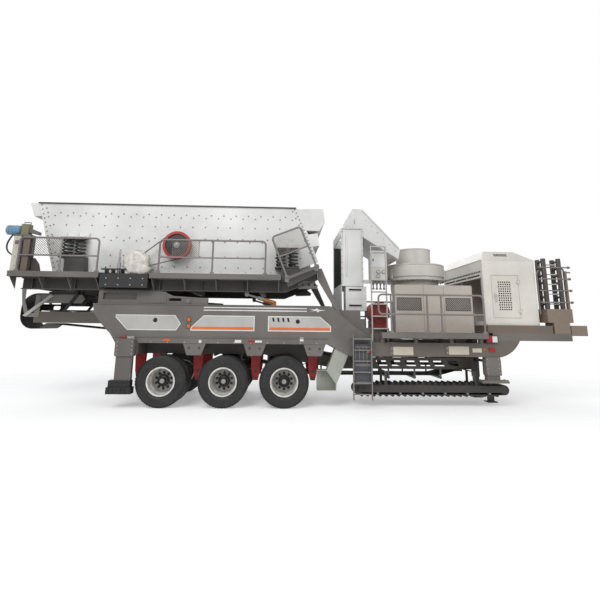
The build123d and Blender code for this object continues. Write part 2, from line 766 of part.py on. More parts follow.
def seat(x, z):
    """Pedestal with a top plate for two coils."""
    y0, y1 = -coil_y - 110, -coil_y + 110
    half = coil_pitch / 2 + coil_r + 15
    post = slab([(x - 130, z - 30), (x + half, z - 30), (x + half + 60, sub_top_z), (x - 130, sub_top_z)],
                y0, y1)
    return post + block(x - half, x + half, y0 - 12, y1 + 10, z - 30, z)


save("screen_subframe", both(subframe_side()))


# Pedestals between the girders and the subframe, with the slotted link plate
def pedestal():
    y0 = -girder_y + 20
    z0, z1 = girder_top_z, sub_bottom_z
    link = slab([(-4430, z1), (-3050, z1), (-2920, z1 - 60), (-2800, z1 - 110), (-2040, z1 - 150),
                 (-2040, z0),
                 (-4430, z0)], y0, y0 + 100)
    slot = block(-4330, -3600, y0 - 1, y0 + 60, z0 + 90, z1 - 60)
    window = block(-2900, -2620, y0 - 1, y0 + 101, z0 + 70, z0 + 130)
    return link - slot - window


def girder_slope_z(x):
    """Top edge of the girder where it runs down to the low beam."""
    return girder_top_z - (x - girder_front_x) * (girder_top_z - low_top_z - 70) / (low_joint_x - 70 - girder_front_x)


def inclined_support():
    """Inclined plate that carries the raised front of the subframe."""
    a, b = sub_front_x + 420, sub_front_x + 540
    return slab([(sub_front_x, sub_top_z + ramp_rise), (sub_front_x + 90, sub_top_z + ramp_rise + 10),
                 (b, girder_slope_z(b)), (a, girder_slope_z(a)), (sub_front_x, sub_bottom_z + ramp_rise)],
                -sub_y - 60, -sub_y - 30)


def subframe_crosses():
    """Cross beams between the webs of the subframe."""
    y = sub_y - sub_web_t / 2
    z0, z1 = sub_bottom_z + 2 * sub_flange_t, sub_top_z - 2 * sub_flange_t
    xs = [sub_rear_x + 62] + [sub_rear_x + f * sub_flat for f in (0.297, 0.608, 0.902)]
    out = [block(x - 60, x + 60, -y, y, z0, z1) for x in xs]
    return out + [block(sub_front_x - 110, sub_front_x - 2, -y, y, z0 + ramp_rise - sub_flange_t,
                        z1 + ramp_rise - 2 * sub_flange_t)]


save("subframe_pedestals", both(pedestal()), both(inclined_support()), subframe_crosses())


# Lift cylinders between girder top and ramp
def lift_cylinder():
    y = -girder_y + 90
    a, b = Vector(-560, y, girder_top_z + 62), Vector(-1180, y, sub_bottom_z - 52)
    m = a + (b - a) * 0.6
    s = rod(tuple(a), tuple(m), 44) + rod(tuple(m), tuple(b), 24)
    for p, z0, z1 in ((a, girder_top_z, a.Z), (b, b.Z, sub_bottom_z)):
        s = s + disc_y(p.X, p.Z, 46, y - 34, y + 34)
        s = s + block(p.X - 46, p.X + 46, y - 34, y - 18, z0, z1) + block(p.X - 46, p.X + 46, y + 18, y + 34,
                                                                          z0, z1)
    return s


save("lift_cylinders", both(lift_cylinder()))


# Screen box: two side plates, feed and discharge ends, cross tubes
screen_x = x_rear + 420
screen_outline = [(screen_x, screen_top_z), (screen_x + 120, 4130), (screen_x + 250, 3700),
                  (screen_x + 510, screen_bottom_z),
                  (-400, screen_bottom_z), (440, 3200), (200, 3870), (90, 4110), (-90, screen_top_z)]


def upper_bracket(x, z):
    half = coil_pitch / 2 + coil_r + 10
    s = block(x - half, x + half, -coil_y - 120, -screen_y + 1, z, z + 24)
    for dx in (-half + 10, -7, half - 24):
        rib = [(-screen_y - 90, z + 24), (-screen_y + 1, z + 24), (-screen_y + 1, z + 150),
               (-screen_y - 20, z + 150)]
        s = s + end_slab(rib, x + dx, x + dx + 14)
    return s


def screen_side():
    s = slab(screen_outline, -screen_y, -screen_y + plate_t)
    return s + upper_bracket(spring_x_rear, seat_z + coil_h) + upper_bracket(spring_x_front,
                                                                             seat_front_z + coil_h)


def feed_box():
    """Open box at the rear end, held between the side plates."""
    x, z, y = screen_x, screen_top_z, screen_y - plate_t
    outer = [(x + 60, z), (x - 200, z - 10), (x - 70, z - 330), (x + 100, z - 310)]
    inner = [(x + 70, z + 20), (x - 215, z + 20), (x - 60, z - 300), (x + 120, z - 280)]
    return slab(outer, -y + seat_gap, y - seat_gap) - slab(inner, -y + 12, y - 12)


deck_zs = (3060, 3560, 4060)
deck_tubes = [(x, z) for x in (-5300, -4100, -2900, -1700, -500) for z in deck_zs]
tube_r = 60
save("screen_box", both(screen_side()), feed_box())


def deck(z0):
    yi = screen_y - plate_t
    return block(-5700, -150, -yi, yi, z0 + tube_r, z0 + tube_r + 35)


def cross_tube(x, z):
    """Round tube between the side plates, just under its deck."""
    yi = screen_y - plate_t
    return disc_y(x, z, tube_r - seat_gap, -yi, yi)


save("screen_decks", [deck(z) for z in deck_zs], [cross_tube(x, z) for x, z in deck_tubes])


# Discharge lips at the front of the screen
def lips():
    yi = screen_y - plate_t
    top = slab([(-110, 4480), (560, 4500), (600, 4180), (470, 3960), (150, 3960), (60, 4110)], -yi, yi)
    hollow = slab([(-90, 4520), (640, 4540), (580, 4200), (450, 3985), (160, 3985), (85, 4120)], -yi + 12,
                  yi - 12)
    low = slab([(180, 3860), (430, 3900), (470, 3600), (290, 3560)], -yi, yi)
    return [top - hollow, low]


save("discharge_lips", lips())


# Screen springs: two coils at each corner, on seats carried by the subframe
def coil(x, z0, z1, turns):
    """Coil spring as a stack of turns with necks between them."""
    pitch = (z1 - z0) / turns
    outline = [(0, z0)]
    for k in range(turns):
        z = z0 + pitch * k
        outline += [(coil_r, z + pitch * 0.12), (coil_r, z + pitch * 0.62), (coil_r - 26, z + pitch * 0.8)]
        if k < turns - 1:
            outline += [(coil_r - 26, z + pitch * 0.95)]
    outline += [(0, z1)]
    return turned_z(x, -coil_y, outline)


def spring_set(x, z0, z1):
    return [coil(x + side * coil_pitch / 2, z0, z1, 4) for side in (-1, 1)]


rear_set = spring_set(spring_x_rear, seat_z, seat_z + coil_h)
front_set = spring_set(spring_x_front, seat_front_z, seat_front_z + coil_h)
save("screen_springs", [both(c) for c in rear_set + front_set])

# Exciter: housing bolted to the side plate, shaft, pulley, belt guard
shaft_r = 40
housing_out_y = -1040


def exciter_housing():
    s = disc_y(exciter_x, exciter_z, 210, -screen_y, housing_out_y)
    s = s - disc_y(exciter_x, exciter_z, shaft_r + spindle_fit, housing_out_y - 1, -screen_y + 1)
    return s


save("exciter_housing", exciter_housing())


def exciter_pulley():
    y0, y1 = pulley_y - pulley_w / 2, pulley_y + pulley_w / 2
    outline = [(0, y0 - 14), (70, y0 - 14), (70, y0 + 28), (pulley_r - 60, y0 + 28), (pulley_r - 60, y0),
               (pulley_r, y0),
               (pulley_r, y0 + 12), (pulley_r - 22, y0 + 24), (pulley_r - 22, y1 - 24), (pulley_r,
                                                                                         y1 - 12), (pulley_r,
                                                                                                    y1),
               (pulley_r - 60, y1), (pulley_r - 60, y0 + 52), (70, y0 + 52), (70, y1), (shaft_r, y1),
               (shaft_r, -screen_y - 2), (0, -screen_y - 2)]
    return turned_y(exciter_x, exciter_z, outline)


save("exciter_pulley", exciter_pulley())

# Screen motor on its bolted bracket
motor_y0, motor_y1 = -1440, -1180
bracket_top = sub_top_z + 80


def screen_motor():
    s = disc_y(motor_x, motor_z, motor_r - 40, motor_y0 + 40, motor_y1)
    s = s + disc_y(motor_x, motor_z, motor_r - 60, motor_y0, motor_y0 + 50)
    s = s + block(motor_x - 190, motor_x + 190, motor_y0 + 60, motor_y1 - 30, bracket_top,
                  motor_z - motor_r + 90)
    s = s + disc_y(motor_x, motor_z, 34, motor_y1 - 10, v_y1 + 10)
    return s + disc_y(motor_x, motor_z, motor_pulley_r + 18, v_y0 - 12, v_y1 + 12) - v_groove(motor_x,
                                                                                              motor_z)


def v_groove(x, z):
    r, side = motor_pulley_r, seat_gap
    return turned_y(x, z, [(r, v_y0 - side), (r + 20, v_y0 - 8), (r + 20, v_y1 + 8), (r, v_y1 + side)])


def motor_bracket():
    x0, x1 = motor_x - 700, motor_x + 330
    y0, y1 = motor_y0 + 10, -sub_y - sub_flange_w / 2
    s = block(x0, x1, y0, y1, sub_bottom_z + 40, bracket_top)
    s = s - block(x0 + 24, x1 - 24, y0 + 24, y1 + 1, sub_bottom_z + 20, bracket_top - 20)
    s = s + block(x0 + 300, x1 - 60, y0, -1150, sub_top_z, bracket_top)
    return s


# Belt between motor and exciter pulley, one closed loop
v_y0, v_y1 = pulley_y - 17, pulley_y + 17
motor_pulley_r = 110


def v_belt():
    r1, r2 = motor_pulley_r, pulley_r - 22
    dx, dz = exciter_x - motor_x, exciter_z - motor_z
    d = hypot(dx, dz)
    base = atan2(dz, dx)
    off = atan2(((d ** 2 - (r2 - r1) ** 2) ** 0.5), -(r2 - r1))
    a1, a2 = base + off, base - off

    def loop(grow):
        ra, rb = r1 + seat_gap + grow, r2 + belt_clear + grow
        pa1 = (motor_x + ra * cos(a1), motor_z + ra * sin(a1))
        pa2 = (motor_x + ra * cos(a2), motor_z + ra * sin(a2))
        pb1 = (exciter_x + rb * cos(a1), exciter_z + rb * sin(a1))
        pb2 = (exciter_x + rb * cos(a2), exciter_z + rb * sin(a2))
        back = (motor_x - ra * cos(base), motor_z - ra * sin(base))
        front = (exciter_x + rb * cos(base), exciter_z + rb * sin(base))
        v = [Vector(p[0], 0, p[1]) for p in (pa1, pa2, pb1, pb2, back, front)]
        return make_face(Line(v[0], v[2]) + ThreePointArc(v[2], v[5], v[3]) + Line(v[3], v[1])
                         + ThreePointArc(v[1], v[4], v[0]))

    return thicken_y(loop(v_belt_t), v_y0, v_y1) - thicken_y(loop(0), v_y0 - 1, v_y1 + 1)


save("v_belt", v_belt())
save("screen_motor", screen_motor())
save("motor_bracket", motor_bracket())


# Walkways along the screen and around the crusher
def walk(x0, x1, z_top, y_in, y_out):
    s = block(x0, x1, -y_out, -y_in, z_top - deck_t, z_top)
    return s - block(x0 + 10, x1 - 10, -y_out + 10, -y_in - 10, z_top - deck_t - 1, z_top - 12)


def screen_walk(x0, x1):
    """Walkway beside the subframe, on triangular brackets."""
    s = walk(x0, x1, deck_z, y_sub_out - 8, deck_out_y)
    z = deck_z - deck_t
    n = int((x1 - x0) / 900) + 1
    for k in range(n + 1):
        x = x0 + 40 + (x1 - x0 - 92) * k / n
        s = s + end_slab([(-deck_out_y + 20, z), (-y_sub_out, z), (-y_sub_out, sub_bottom_z)], x, x + 12)
    return s


def crusher_walk():
    s = walk(*crusher_deck, crusher_deck_z, girder_y - 60, deck_out_y)
    z = crusher_deck_z - deck_t
    s = s + block(guard_x0 - 30, crusher_deck[1], -girder_y + 60, -700, z + 60, crusher_deck_z)
    for x in (crusher_deck[0] + 60, 2600, 3400, crusher_deck[1] - 60):
        s = s + block(x - 40, x + 40, -girder_y - 20, -girder_y + 65, low_top_z, z + 60)
    return s


def ramp_deck():
    a = radians(ramp_deg)
    ln, t = 800, 60
    x0, z0 = ramp_x + 20, sub_top_z
    along, normal = (cos(a), sin(a)), (-sin(a), cos(a))
    end = (x0 + ln * along[0], z0 + ln * along[1])
    start = (x0 + t * normal[0], z0 + t * normal[1])
    pts = [(x0, z0), end, (end[0] + t * normal[0], end[1] + t * normal[1]), start]
    rib = slab([(x0 + 60, z0 - 130), (end[0], end[1] - 90), end, (x0, z0)], -y_sub_out - 14, -y_sub_out)
    return slab(pts, -deck_out_y, -y_sub_out) + rib, start


ramp, ramp_start = ramp_deck()
save("walkways", both(screen_walk(*rear_deck)), both(screen_walk(*mid_deck)), both(ramp),
     both(crusher_walk()))


# Tube railings: posts, top rail and middle rail welded to one panel
def railing(x0, length, z, posts, h, mid_h, tilt=0.0, looped=False):
    """Panel standing on z: bent tube, middle rail and inner posts; a looped panel starts with a closed bend."""
    r = rail_bend

    def bar(a, b, bar_r=rail_r):
        return rod((a[0], 0, a[1]), (b[0], 0, b[1]), bar_r)

    def bend(u, w, turn):
        quarter = revolve(Pos(r, 0, 0) * Circle(rail_r), Axis((0, 0, 0), (0, -1, 0)), 90)
        return Pos(u, 0, w) * Rot(0, -turn, 0) * quarter

    bars = [bend(r, h - r, 90), bar((r, h), (length - r, h)), bend(length - r, h - r, 0),
            bar((length, h - r), (length, 0))]
    if looped:
        bars += [bar((0, h - r), (0, mid_h + r)), bend(r, mid_h + r, 180), bar((r, mid_h), (length, mid_h))]
    else:
        bars += [bar((0, h - r), (0, 0)), bar((0, mid_h), (length, mid_h), rail_r - 3)]
    bars += [bar((u, 0), (u, h), rail_r - 1) for u in posts]
    return Pos(x0, -deck_out_y + rail_r, z) * Rot(0, -tilt, 0) * fuse(bars)


rail_mid_h = rail_h / 2 - 20
rear_rail = railing(rear_deck[0] + 170, rear_deck[1] - rear_deck[0] - 210, deck_z, (900,), rail_h, rail_mid_h)
mid_rail = railing(mid_deck[0] + 180, mid_deck[1] - mid_deck[0] - 530, deck_z, (1165,), rail_h, rail_mid_h)
tilt_rail = railing(ramp_start[0] + 45, 696, ramp_start[1] + 45 * tan(radians(ramp_deg)), (), 960, 480,
                    tilt=ramp_deg)
crusher_rail = railing(crusher_deck[0] - 60, 2340, crusher_deck_z, (275, 1080, 1395), 820, 395, looped=True)
save("railings", both(rear_rail), both(mid_rail), both(tilt_rail), both(crusher_rail))


# Ladders
def ladder(x, z0, z1, y, rungs, width=360, rail_w=50):
    s = block(x - width / 2, x - width / 2 + 24, y - rail_w / 2, y + rail_w / 2, z0, z1)
    s = s + block(x + width / 2 - 24, x + width / 2, y - rail_w / 2, y + rail_w / 2, z0, z1)
    for k in range(rungs):
        z = z0 + (z1 - z0) * (k + 0.5) / rungs
        s = s + block(x - width / 2 + 24, x + width / 2 - 24, y - 14, y + 14, z - 12, z + 12)
    return s


def tread_ladder(x, y, width):
    """Steep steps: two uprights joined at the top, with five wide treads."""
    s = ladder(x, low_top_z, upper_ladder_top, y, 0, width)
    s = s + block(x - width / 2, x + width / 2, y - 25, y + 25, upper_ladder_top - 24, upper_ladder_top)
    for k in range(5):
        z = crusher_deck_z + 90 + 274 * k
        s = s + block(x - width / 2 + 24, x + width / 2 - 24, y - 60, y + 50, z - 24, z)
    return s


lower_ladder_x = 1370
lower_ladder_y = -deck_out_y + 100
upper_ladder_x = low_joint_x + 185
upper_ladder_top = 3580
front_ladder_x = 5880
lower_ladder = ladder(lower_ladder_x, 200, low_top_z + 180, lower_ladder_y, 6, 420)
lower_ladder = lower_ladder + block(lower_ladder_x - 210, lower_ladder_x + 210, lower_ladder_y - 25,
                                    -girder_y,
                                    low_top_z + 60, low_top_z + 90)
front_ladder = ladder(front_ladder_x, 2170, 3310, -1140, 5, 420)
save("ladders", lower_ladder, tread_ladder(upper_ladder_x, -girder_y + 100, 370), front_ladder)


# Crusher
def crusher_frame():
    z0, r = crusher_z0, 430
    return turned_z(crusher_x, 0, [(r, z0), (620, z0), (620, z0 + 90), (560, z0 + 140), (560, 2560),
                                   (neck_r, 2640),
                                   (neck_r, 2860), (r, 2860)])


def crusher_bowl():
    z0 = 2860
    return turned_z(crusher_x, 0, [(430, z0), (bowl_r, z0), (bowl_r, z0 + 30), (bowl_r - 30, z0 + 36),
                                   (bowl_r - 30, z0 + 80),
                                   (bowl_r, z0 + 90), (bowl_r, 3200), (bowl_r - 20, 3260), (bowl_r - 160,
                                                                                            3290),
                                   (hopper_r - 30, 3290), (hopper_r - 30, 3100)])


def hopper():
    return turned_z(crusher_x, 0, [(hopper_r - 20, 3290), (hopper_r, 3290), (hopper_r, 3640),
                                   (hopper_r + 10, 3660),
                                   (hopper_r + 10, 3680), (hopper_r - 20, 3680)])


save("crusher_frame", crusher_frame())
save("crusher_bowl", crusher_bowl())
save("crusher_hopper", hopper())


# Cream guard housing in front of the crusher: front plate with walls behind it, and a control box on an arm
def crusher_guard():
    x0, x1, z0, z1 = guard_x0, guard_x1, crusher_deck_z, guard_z1
    y0, y1, t, inset = -950, -700, 12, 10
    front_y = y0 + 20
    plate = block(x0, x1, y0, front_y, z0, z1)
    corners = plate.edges().filter_by(Axis.Y).group_by(Axis.Z)[-1]
    plate = fillet(corners, 34)
    for a, b in ((x0 + 40, x0 + 620), (x1 - 640, x1 - 40)):
        plate = plate - block(a, b, y0 - 1, y0 + 12, 2110, 2400)
    y_wall = front_y + seat_gap
    walls = [block(x0 + inset, x0 + inset + t, y_wall, y1, z0, z1 - inset),
             block(x1 - inset - t, x1 - inset, y_wall, y1, z0, z1 - inset)]
    for z in (z0, z1 - inset - t):
        walls.append(block(x0 + inset + t + seat_gap, x1 - inset - t - seat_gap, y_wall, y1, z, z + t))
    return [plate] + walls


def control_box():
    arm_z = 2740
    s = block(1690, 2080, -900, -640, arm_z + 80, 3480)
    return s + block(chute_x1, 2080, -780, -700, arm_z, arm_z + 80)


chute_x0, chute_x1, chute_y = 1010, 1530, 780
save("crusher_guard", crusher_guard(), control_box())


# Crusher drive motor on the near side
def drive_motor():
    x, z = 1850, 2050
    s = disc_y(x, z, 240, -1010, -560)
    s = s + block(x - 190, x + 190, -980, -600, 1700, z - 180)
    return s


save("drive_motor", drive_motor())
stool_top = 2090
save("motor_stool", slab([(790, stool_top), (1400, stool_top), (1400, 1900), (1500, 1900), (1500, 1700),
                          (2050, 1700),
                          (2050, stool_front_z), (1500, stool_front_z), (1500, stool_z), (790,
                                                                                          stool_z)], -1040, -560))


# White feed chute from the screen to the crusher
def feed_chute():
    x0, x1, y, t = chute_x0, chute_x1, chute_y, 14
    hood_z0, hood_z1 = 2660, 4080
    hood = block(x0, x1, -y, y, hood_z0, hood_z1)
    hood = hood - block(x0 + t, x1 - t, -y + t, y - t, hood_z0 - 1, hood_z1 + 1)
    hood = hood - block(x0 - 1, x0 + t + 1, -y + 60, y - 60, hood_z0 + 60, 3850)
    sloped = slab([(1290, 4080), (1290, 4560), (1500, 4560), (2440, 3560), (2390, 3320), (1530, 3880),
                   (1530, 4080)], -y, y)
    inner = slab([(1304, 4060), (1304, 4600), (1496, 4600), (2500, 3560), (2380, 3345), (1516, 3905)],
                 -y + t, y - t)
    s = hood + sloped - inner
    cabinet = block(x0 + 100, x1 + 70, -y, -400, stool_top, hood_z0)
    for z in (2190, 2560):
        cabinet = cabinet - block(x0 + 180, x1 - 50, -y - 1, -y + 20, z, z + 40)
    back = block(x0, x0 + t, -y, y, stool_top, hood_z0)
    far_leg = slab([(850, stool_z), (970, stool_z), (1150, hood_z0), (x0, hood_z0)], y - 140, y)
    return s + cabinet + back + far_leg


def girder_under_z(x):
    """Lower edge of the girder where it runs down to the low beam."""
    a, b = girder_front_x - 50, low_start_x
    return girder_bottom_z - (x - a) * (girder_bottom_z - low_bottom_z) / (b - a)


def discharge_chute():
    """Square chute from the girder down to its open mouth at the rear."""
    y0, y1, t = -1170, -920, 8
    a, b = 800, 1090
    outline = [(410, 790), (410, 360), (820, 360), (830, 500), (b, girder_under_z(b)),
               (a, girder_under_z(a)), (620, 790)]
    inside = [(400, 782), (400, 368), (812, 368), (822, 502), (b - 12, girder_under_z(b) + 20),
              (a + 12, girder_under_z(a) + 20),
              (614, 782)]
    mouth = slab([(400, 778), (612, 778), (808, 505), (808, 372), (400, 372)], y0 - 1, y0 + t + 1)
    return slab(outline, y0, y1) - slab(inside, y0 + t, y1 - t) - mouth


save("feed_chute", feed_chute())
save("discharge_chute", discharge_chute())


# Power cabinet: hollow body with roof, door opening in the near side
def power_cabinet():
    body = block(cab_x0, cab_x1, -cab_y, cab_y, cab_z0, cab_z1)
    t = 30
    roof_pts = [(-cab_y, cab_z1), (-cab_y + 160, roof_z), (cab_y - 160, roof_z), (cab_y, cab_z1)]
    roof = end_slab(roof_pts, cab_x0, cab_x1)
    cut = slab([(cab_x0 - 1, cab_z1), (cab_x0 + 150, roof_z + 1), (cab_x0 - 1, roof_z + 1)], -2000, 2000)
    cut2 = slab([(cab_x1 + 1, cab_z1), (cab_x1 - 400, roof_z + 1), (cab_x1 + 1, roof_z + 1)], -2000, 2000)
    s = body + roof - cut - cut2
    s = s - block(cab_x0 + t, cab_x1 - t, -cab_y + t, cab_y - t, cab_z0 + t, cab_z1 - t)
    s = s - block(door_x0 - door_gap, door_x1 + door_gap, -cab_y - 1, -cab_y + t + 1, door_z0 - door_gap,
                  door_z1 + door_gap)
    s = s - block(cab_x0 - 1, cab_x0 + t + 1, -cab_y + 80, cab_y - 80, cab_z0 + 90, end_open_z)
    for z0, z1 in hinge_spans:
        pin = Pos(hinge_x, hinge_y, (z0 + z1) / 2) * Cylinder(hinge_pin_r, z1 - z0 + 60)
        tab = block(hinge_x - 2.5, hinge_x + 30, hinge_y - 6, -cab_y, z1 + 6, z1 + 30)
        s = s + pin + tab + Pos(0, 0, z0 - z1 - 36) * tab
    return s


door_x0, door_x1 = cab_x0 + 200, cab_x0 + 830
door_z0, door_z1 = 1960, 2930
end_open_z = 2880
hinge_r = hinge_pin_r + 6
hinge_x = door_x1 + door_gap / 2
hinge_y = -cab_y - hinge_r
hinge_spans = [(2080, 2140), (2750, 2810)]
save("power_cabinet", power_cabinet())


def cabinet_door():
    s = block(door_x0, door_x1, -cab_y, -cab_y + door_t, door_z0, door_z1)
    s = s - block(door_x0 + 140, door_x0 + 450, -cab_y - 1, -cab_y + 12, 2120, 2800)
    for z0, z1 in hinge_spans:
        mid = (z0 + z1) / 2
        s = s + block(door_x1 - 40, hinge_x, hinge_y - 4, -cab_y + 2, z0, z1)
        s = s + Pos(hinge_x, hinge_y, mid) * Cylinder(hinge_r, z1 - z0)
        s = s - Pos(hinge_x, hinge_y, mid) * Cylinder(hinge_pin_r + spindle_fit, z1 - z0 + 2)
    handle_z = (door_z0 + door_z1) / 2
    return s + block(door_x0 + 50, door_x0 + 90, -cab_y - 35, -cab_y + 1, handle_z - 70, handle_z + 70)


save("cabinet_door", cabinet_door())


# Front boxes, rear hose column
def front_boxes():
    a = block(5790, 6160, -girder_y, -girder_y + 320, neck_top_z, 1860)
    b = block(5660, 6250, -girder_y, -girder_y + 400, 1860, 2170)
    c = block(neck_front_x, x_front, -girder_y, girder_y, 1570, 1800)
    c = c - block(neck_front_x + 12, x_front - 12, -girder_y + 12, girder_y - 12, 1569, 1788)
    tube = rod((6220, -1150, 2170), (6220, -1150, 3050), 26) + rod((6220, -1150, 3020), (6330, -1150, 3020),
                                                                   18)
    tool_box = block(1190, 1600, -girder_y - 100, -girder_y, 500, 1350)
    return [a + b + tube, c, tool_box]


save("front_boxes", front_boxes())


def rear_mast():
    """Mast at the rear corner: two uprights, top box, arm and a wrapped cylinder, with glands for the hose."""
    x, y0, y1, top = mast_x, mast_y0, mast_y1, 3640
    s = block(x, x + 150, y0, y1, deck_z, top) + block(x + 220, x + 350, y0, y1, deck_z, top)
    s = s + block(x, x + 350, y0 + 60, y1 - 60, deck_z, top - 40)
    s = s + block(x, x + 350, y0, y1, top - 40, top) + block(x + 110, x + 270, y0 + 20, y1 - 20, top,
                                                             top + 240)
    s = s + slab([(x + 270, 3800), (x + 490, 3710), (x + 490, top), (x + 270, 3690)], y0 + 50, y1 - 50)
    s = s + rod((x - 210, mast_mid_y, 3750), (x + 115, mast_mid_y, 3750), 95)
    for end, inner in ((hose_points[0], hose_points[1]), (hose_points[-1], hose_points[-2])):
        out = (Vector(*end) - Vector(*inner)).normalized()
        s = s + rod(end, tuple(Vector(*end) + out * 55), 26)
    return s


mast_mid_y = (mast_y0 + mast_y1) / 2
hose_r = 17
hose_points = [(mast_x + dx, mast_mid_y, z) for dx, z in
               ((-102, 3642), (-150, 3560), (-200, 3440), (-190, 3320), (-120, 3225), (-25, 3180))]


def hose_radii():
    """Bend radius at each inner corner, kept within the runs on both sides."""
    out = []
    for a, b, c in zip(hose_points, hose_points[1:], hose_points[2:]):
        u, v = Vector(*b) - Vector(*a), Vector(*c) - Vector(*b)
        out.append(0.45 * min(u.length, v.length) / tan(radians(u.get_angle(v)) / 2))
    return out


def mast_hose():
    radii = hose_radii()
    print("hose radii", [round(r) for r in radii])
    path = FilletPolyline(*hose_points, radius=radii)
    return sweep(Plane(origin=path @ 0, z_dir=path % 0) * Circle(hose_r), path)


save("mast_hose", mast_hose())
save("rear_mast", rear_mast())
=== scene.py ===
import json
from math import atan2, cos, hypot, radians, sin, tan, tau

import bmesh
import bpy
from mathutils import Matrix, Vector, noise


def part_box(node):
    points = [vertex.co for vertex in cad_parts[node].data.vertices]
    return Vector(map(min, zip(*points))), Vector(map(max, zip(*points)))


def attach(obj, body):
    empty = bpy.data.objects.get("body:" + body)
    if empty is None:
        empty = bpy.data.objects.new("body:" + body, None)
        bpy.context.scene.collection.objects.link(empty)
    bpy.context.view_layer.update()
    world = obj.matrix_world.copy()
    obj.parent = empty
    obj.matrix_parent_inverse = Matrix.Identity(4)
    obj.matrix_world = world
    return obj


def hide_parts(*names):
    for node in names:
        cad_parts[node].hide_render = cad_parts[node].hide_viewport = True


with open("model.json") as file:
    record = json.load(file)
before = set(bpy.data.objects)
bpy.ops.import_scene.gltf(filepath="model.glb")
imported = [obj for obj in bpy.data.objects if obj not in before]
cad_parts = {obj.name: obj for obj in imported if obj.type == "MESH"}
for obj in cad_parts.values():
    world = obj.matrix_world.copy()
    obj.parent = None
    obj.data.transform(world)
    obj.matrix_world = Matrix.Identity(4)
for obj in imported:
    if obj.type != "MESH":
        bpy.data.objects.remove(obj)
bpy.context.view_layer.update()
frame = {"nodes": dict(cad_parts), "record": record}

BASE = "plant"
SIDES = (-1, 1)
WORDS = (("near", -1), ("far", 1))

# Camera at the photograph's viewing angle
EYE = Vector((-0.331, -10.243, 1.745))
YAW, PITCH, ROLL = 0.0367, 0.1912, 0.0111
LENS, SENSOR = 24.095, 36.0
RISE = -0.0877


def add_object(name, data):
    made = bpy.data.objects.new(name, data)
    bpy.context.scene.collection.objects.link(made)
    return made


def make_camera():
    forward = Vector((sin(YAW) * cos(PITCH), cos(YAW) * cos(PITCH), sin(PITCH)))
    level = Vector((cos(YAW), -sin(YAW), 0))
    up = level.cross(forward)
    right = level * cos(ROLL) + up * sin(ROLL)
    top = up * cos(ROLL) - level * sin(ROLL)
    data = bpy.data.cameras.new("camera")
    data.lens, data.sensor_width = LENS, SENSOR
    data.shift_y = RISE
    data.clip_end = 200
    cam = add_object("camera", data)
    cam.matrix_world = Matrix((
        (right.x, top.x, -forward.x, EYE.x),
        (right.y, top.y, -forward.y, EYE.y),
        (right.z, top.z, -forward.z, EYE.z),
        (0, 0, 0, 1)))
    bpy.context.scene.camera = cam


make_camera()

# Hose hanging at the rear mast: route and radius in metres
HOSE_ROUTE = [(-6.382, -1.305, 3.642), (-6.43, -1.305, 3.56), (-6.48, -1.305, 3.44), (-6.47, -1.305, 3.32),
              (-6.4, -1.305, 3.225), (-6.305, -1.305, 3.18)]
HOSE_R = 0.017


def make_hose():
    data = bpy.data.curves.new("mast_hose_line", "CURVE")
    data.dimensions = "3D"
    line = data.splines.new("NURBS")
    line.points.add(len(HOSE_ROUTE) - 1)
    for point, place in zip(line.points, HOSE_ROUTE):
        point.co = (*place, 1)
        point.radius = HOSE_R
    line.order_u = 3
    line.use_endpoint_u = True
    line.resolution_u = 16
    data.bevel_depth = 1.0
    data.bevel_resolution = 4
    data.use_fill_caps = True
    piece = add_object("mast_hose_tube", data)
    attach(piece, BASE)
    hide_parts("mast_hose")
    return piece


hose_piece = make_hose()


# Node helpers for materials
FINISH = {}


